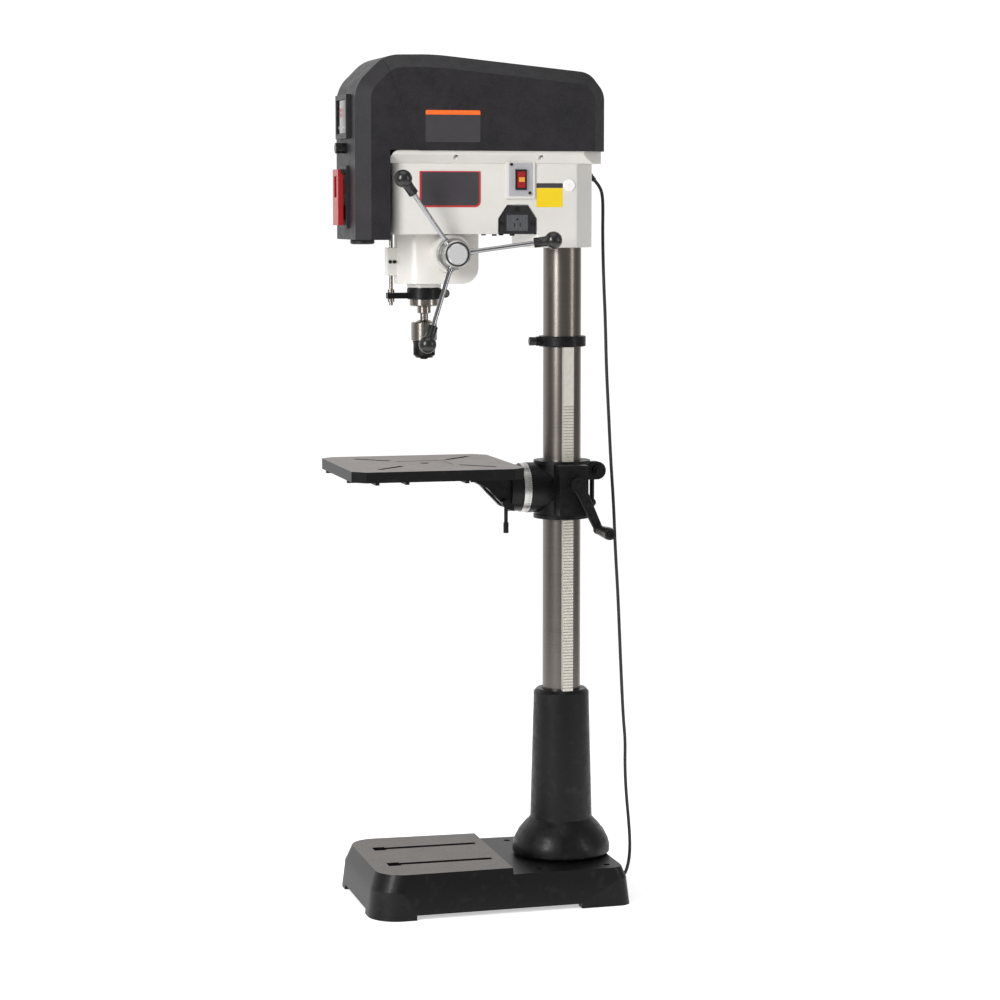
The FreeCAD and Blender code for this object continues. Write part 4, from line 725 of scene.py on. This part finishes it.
def grow(name, tree, matrix, points=(), **values):
    """Runs a tree with lengths in millimetres and keeps its result as a plain mesh."""
    mesh = bpy.data.meshes.new(name)
    mesh.from_pydata(list(points), [], [])
    piece = link(bpy.data.objects.new(name, mesh))
    modifier = piece.modifiers.new("tree", "NODES")
    modifier.node_group = tree
    for item in tree.interface.items_tree:
        if item.in_out == "INPUT" and item.name in values:
            value = values[item.name]
            modifier[item.identifier] = value * MM if item.name in LENGTHS else value
    depsgraph = bpy.context.evaluated_depsgraph_get()
    depsgraph.update()
    made = bpy.data.meshes.new_from_object(piece.evaluated_get(depsgraph))
    piece.modifiers.remove(modifier)
    piece.data = made
    made.name = name
    made.transform(matrix)
    set_smooth(made, 20)
    bpy.data.meshes.remove(mesh)
    return piece


def mm(x, y, z):
    """A place or a size given in millimetres."""
    return Vector((x, y, z)) * MM

# %% [markdown]
# ## Labels and caps
# A drill press carries a name plate on the head, a notice on the hood and one beside the switch. They stay
# blank here: a plate with a coloured edge and plain vinyl films.

# %% Plates, films and the breather cap
# A flat outline drawn in X, Y of its own stands on the right side of the head: its X runs to the rear.
SIDE = Matrix(((0, 0, 1, 0), (1, 0, 0, 0), (0, 1, 0, 0), (0, 0, 0, 1)))
HEAD_SIDE = 0.100
hood_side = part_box("belt_cover")[1].x
FILM = 0.25


def on_side(name, finish_name, face, rear, low, outline, thickness, slot, edge=0.0):
    """Stands a flat piece on an upright face, with its front lower corner at rear and low."""
    matrix = Matrix.Translation((face, rear * MM, low * MM)) @ SIDE
    return settle(flat_piece(name, outline, thickness, matrix, edge), finish_name, "machine", slot)


on_side("name_plate_edge", "red_film", HEAD_SIDE, -330, 1456, rounded(128, 73, (12, 12, 2, 2)), 1.0,
        "red_plastic", 0.3)
on_side("name_plate_face", "charcoal_film", HEAD_SIDE, -326.4, 1459.6, rounded(120.8, 67.4, (9, 9, 1, 1)),
        1.3,
        "panel_black", 0.2)
on_side("hood_notice", "charcoal_film", hood_side, -322, 1587, rounded(114, 54.6, (3, 3, 0, 0)), FILM,
        "panel_black")
on_side("hood_notice_band", "orange_film", hood_side, -322, 1642, rounded(114, 9, (0, 0, 3, 3)), FILM,
        "orange_plastic")
on_side("side_notice", "yellow_film", HEAD_SIDE, -84, 1456, rounded(56, 39, (2, 2, 0, 0)), FILM,
        "yellow_plastic")
on_side("side_notice_band", "charcoal_film", HEAD_SIDE, -84, 1495.4, rounded(56, 9.6, (0, 0, 2, 2)), FILM,
        "panel_black")
cap = turned_piece("breather_cap", [(0, 0), (12.5, 0), (12.5, 1.4), (11.2, 3.0), (2.2, 3.4), (2.2, 2.2),
                                    (0, 2.2)],
                   mm(100, -14, 1501), (1, 0, 0))
settle(cap, "white_cap_plastic", "machine", "head_white")
print("blank plates on the faces at %.0f and %.0f mm" % (HEAD_SIDE / MM, hood_side / MM))

# %% [markdown]
# ## Painted shade in the screw sockets
# The screws of the switch plate and of the side panel have hexagon sockets. The shade inside each socket is
# painted: a dark six-sided prism set just proud of each head. One tree makes them all, and each group of
# screws is a piece of its own.

# %% Painted shade in the screw sockets
def paint_socket_shade(name, places, radius):
    """Dark hexagon prisms of painted shade on screws that face +X, where their sockets are."""
    turned = turn_to((1, 0, 0))
    local = [turned.inverted() @ mm(*place) for place in places]
    piece = grow(name, socket_shade_tree, turned, local, Sides=6, Radius=radius, Depth=0.5,
                 Finish=finishes["black_pvc"])
    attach(piece, "machine")
    print(name, len(places))


# Dark prisms of painted shade in the screw sockets of the switch plate and of the side panel.
paint_socket_shade("plate_screw_socket_shade", [(107.5, -138.5, 1543), (107.5, -99.5, 1485)], 1.5)
paint_socket_shade("panel_screw_socket_shade", [(98.5, -156, 1423), (98.5, -123.5, 1452), (98.5, -91, 1423)], 2.0)

# %% [markdown]
# ## Outlet
# The service outlet in the side panel has two upright slots and a round earth hole in a grey block. The
# openings are painted shade: thin black pieces laid on the block where the holes are.

# %% Outlet openings in painted shade
SLOT_BACKS, SLOT_LOW, SLOT_WIDE, SLOT_TALL = (-131.5, -118.9), 1416, 2.4, 8
OUTLET_INSIDE = 97.2
# Each slot is a thin black piece of painted shade, standing where the opening is.
for index, back in enumerate(SLOT_BACKS):
    slot_shade = block("outlet_slot_%d" % (index + 1), mm(OUTLET_INSIDE, back, SLOT_LOW),
                       mm(OUTLET_INSIDE + 0.55, back + SLOT_WIDE, SLOT_LOW + SLOT_TALL))
    settle(slot_shade, "black_pvc", "machine", "panel_black")
# The earth hole is a thin black disc of painted shade.
earth_hole_shade = turned_piece("outlet_earth_shade", [(0, 0), (2.6, 0), (2.6, 0.55), (0, 0.55)],
                           mm(OUTLET_INSIDE, -124, 1431), (1, 0, 0), 24)
settle(earth_hole_shade, "black_pvc", "machine", "panel_black")
outlet_block = block("outlet_block", mm(96.0, -147, 1407), mm(97.5, -101, 1441), 0.8)
settle(outlet_block, "grey_socket_plastic", "machine", "panel_black")
print("outlet: %d slots and an earth hole" % len(SLOT_BACKS))

# %% [markdown]
# ## Knurls and ribs
# The chuck's sleeve is knurled so that a hand can turn it. The feed knobs have ribbed necks, and the knobs
# for the speed and the collar have ribs round their rims.

# %% Knurls and ribs
spindle_y = (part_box("spindle")[0].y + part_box("spindle")[1].y) / 2
sleeve_low, sleeve_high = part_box("chuck_sleeve")
sleeve_radius = (sleeve_high.x - sleeve_low.x) / 2 / MM
print("sleeve radius %.1f mm, from %.1f to %.1f" % (sleeve_radius, sleeve_low.z / MM, sleeve_high.z / MM))


def ribs(name, finish_name, body, slot, matrix, **values):
    """Ribs round an axis, on a body; the slot argument is not used."""
    piece = grow(name, ribs_tree, matrix, Finish=finishes[finish_name], **values)
    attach(piece, body)
    return piece


KNURL_HEIGHT = 16
ribs("chuck_knurl", "blacked_steel", "sleeve", "dark_steel",
     Matrix.Translation(Vector((0, spindle_y, sleeve_low.z + KNURL_HEIGHT * MM))),
     Count=48, Radius=sleeve_radius - 2.2, Length=21.0, Width=1.3, Depth=1.6)

# The three feed knobs stand on rods that lean away from the head.
FEED_CENTRE = (-260, 1361)
ROD_START, ROD_REACH, ROD_LEAN, HUB_RADIUS = 122, 200, 52, 28
ROD_SINK, NECK_BACK, FIRST_TURN, RODS = 6, 29, 8.4, 3
lean = math.atan2(ROD_LEAN, ROD_REACH - HUB_RADIUS)
rod_length = (ROD_REACH - HUB_RADIUS) / math.cos(lean)
for index in range(RODS):
    turn = math.radians(FIRST_TURN + 360 / RODS * index)
    radial = Vector((0, math.cos(turn), math.sin(turn)))
    rod_axis = Vector((math.sin(lean), math.cos(lean) * radial.y, math.cos(lean) * radial.z))
    base = mm(ROD_START, FEED_CENTRE[0], FEED_CENTRE[1]) + radial * (HUB_RADIUS - ROD_SINK) * MM
    ribs("knob_neck_ribs_%d" % (index + 1), "black_phenolic", "feed", "knob_black",
         along(base + rod_axis * (rod_length - NECK_BACK) * MM, rod_axis), Count=12, Radius=8.4, Length=22.0,
         Width=1.8, Depth=3.4)

for name in ("speed_knob", "collar_knob"):
    knob_low, knob_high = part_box(name)
    middle = (knob_low + knob_high) / 2
    wide = (knob_high.x - knob_low.x) / 2 / MM
    ribs(name + "_ribs", "black_phenolic", name, "knob_black",
         along(Vector((middle.x, knob_low.y + 5 * MM, middle.z)), (0, 1, 0)),
         Count=24, Radius=wide - 0.4, Length=8.0, Width=1.2, Depth=0.8)

# %% [markdown]
# ## Scales, hub cap and display
# The tilt ring is engraved every five degrees. The feed hub ends in a chromed cap inside a dark seal ring.
# The display shows three zeros over a row of ticks; a zero leaves out the middle one of seven segments.

# %% Scales, hub cap and display
SCALE_BACK, CAP_SINK = 5, 2.6
ring_low, ring_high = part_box("tilt_ring")
ring_middle = (ring_low + ring_high) / 2
ring_radius = (ring_high.x - ring_low.x) / 2 / MM
ribs("tilt_scale", "black_pvc", "table", "aluminium", along(Vector((0, ring_high.y - SCALE_BACK * MM,
                                                                    ring_middle.z)), (0, 1, 0)),
     Count=72, Radius=ring_radius - 0.05, Length=5.0, Width=0.55, Depth=0.35)

hub_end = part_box("feed_hub")[1].x / MM - CAP_SINK
hub_cap = turned_piece("hub_cap", [(0, 0), (20.9, 0), (20.9, 0.9), (19.2, 2.8), (0, 3.1)],
                       mm(hub_end, *FEED_CENTRE), (1, 0, 0), 72)
settle(hub_cap, "satin_chrome", "feed", "bright_steel")
hub_seal = turned_piece("hub_seal", [(22.1, -0.3), (24.6, -0.3), (24.6, 0.35), (22.1, 0.35)],
                        mm(hub_end, *FEED_CENTRE), (1, 0, 0), 72)
settle(hub_seal, "black_pvc", "feed", "rubber")

window = block("display_glass", mm(-45, -469.9, 1606), mm(45, -469.1, 1673), 0.3)
settle(window, "smoked_window", "machine", "display")
DISPLAY_FACE, DIGITS, DIGIT_PITCH = -470.0, 3, 14
# Each lit segment of a zero: its place across and up, its width and its height.
ZERO = [(0, 9, 5, 0.9), (0, -9, 5, 0.9)] + [(x, z, 0.9, 7.4) for z in (4.5, -4.5) for x in (-3, 3)]
digits = bmesh.new()
for digit in range(DIGITS):
    for x, z, wide, tall in ZERO:
        bar = bmesh.ops.create_cube(digits, size=1)["verts"]
        bmesh.ops.scale(digits, vec=mm(wide, 0.2, tall), verts=bar)
        place = mm(DIGIT_PITCH * (digit - 1) + x, DISPLAY_FACE, 1648 + z)
        bmesh.ops.translate(digits, vec=place, verts=bar)
settle(from_bmesh("display_digits", digits), "red_film", "machine", "red_plastic")
QUARTER = math.radians(90)
across = Matrix.Rotation(QUARTER, 4, "Y") @ Matrix.Rotation(QUARTER, 4, "Z")
ticks = grow("display_level", ticks_tree, Matrix.Translation(mm(-30, DISPLAY_FACE, 1618)) @ across,
             Count=21, Pitch=3.0, Every=5.0, Length=6.0, Width=0.7, Depth=0.2, Finish=finishes["pale_film"])
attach(ticks, "machine")
print("display: %d digits" % DIGITS)

# %% [markdown]
# ## Stage and light
# A pale floor stands in a surrounding that is bright behind the machine and dim on the camera's side, so
# that the backdrop is white and the black paint stays black. Two tall soft boxes draw the long upright
# highlights on the column and the chrome, and a weak square one above lights the tops.

# %% Stage and light
floor_mesh = bpy.data.meshes.new("floor")
FLOOR_REACH, FLOOR_GAP = 2.4, 0.0005
around = [math.radians(degrees) for degrees in range(0, 360, 5)]
rim = [(FLOOR_REACH * math.cos(turn), FLOOR_REACH * math.sin(turn), 0) for turn in around]
floor_mesh.from_pydata(rim, [], [tuple(range(len(rim)))])
floor = link(bpy.data.objects.new("floor", floor_mesh))
floor.location.z = -FLOOR_GAP
floor_finish = Finish("pale_floor", "#fdfdfd", 0.95)
floor_finish.shader.inputs["Specular IOR Level"].default_value = 0.1
floor_finish.shader.inputs["Emission Color"].default_value = (1, 1, 1, 1)
floor_finish.shader.inputs["Emission Strength"].default_value = 0.5
floor_mesh.materials.append(floor_finish.material)

world = bpy.data.worlds.new("studio")
bpy.context.scene.world = world
world.use_nodes = True
sky = world.node_tree
sky.nodes.clear()
direction = add(sky, "ShaderNodeTexCoord").outputs["Generated"]
from_right = add(sky, "ShaderNodeSeparateXYZ", {"Vector": direction}).outputs["X"]
level = add(sky, "ShaderNodeMapRange", {
    "Value": from_right, "From Min": -0.75, "From Max": -0.1, "To Min": 1.05,
    "To Max": 0.3}).outputs["Result"]
glow = add(sky, "ShaderNodeBackground", {"Color": (1, 1, 1, 1), "Strength": level})
add(sky, "ShaderNodeOutputWorld", {"Surface": glow.outputs["Background"]})


def soft_box(name, at, target, width, height, watts):
    """A rectangular lamp that faces a point."""
    lamp = bpy.data.lights.new(name, "AREA")
    lamp.shape = "RECTANGLE"
    lamp.size = width
    lamp.size_y = height
    lamp.energy = watts
    holder = link(bpy.data.objects.new(name, lamp))
    holder.location = at
    holder.rotation_euler = (Vector(target) - Vector(at)).to_track_quat("-Z", "Y").to_euler()
    print("%s: %d W" % (name, watts))


soft_box("key_box", (2.6, -3.4, 2.4), (0, -0.1, 1.1), 1.0, 2.4, 150)
soft_box("fill_box", (2.6, 2.8, 1.8), (0, 0, 1.0), 0.7, 2.4, 26)
soft_box("top_box", (0.6, -0.4, 3.6), (0, -0.2, 1.0), 2.0, 2.0, 16)
bpy.context.scene.view_settings.view_transform = "Standard"
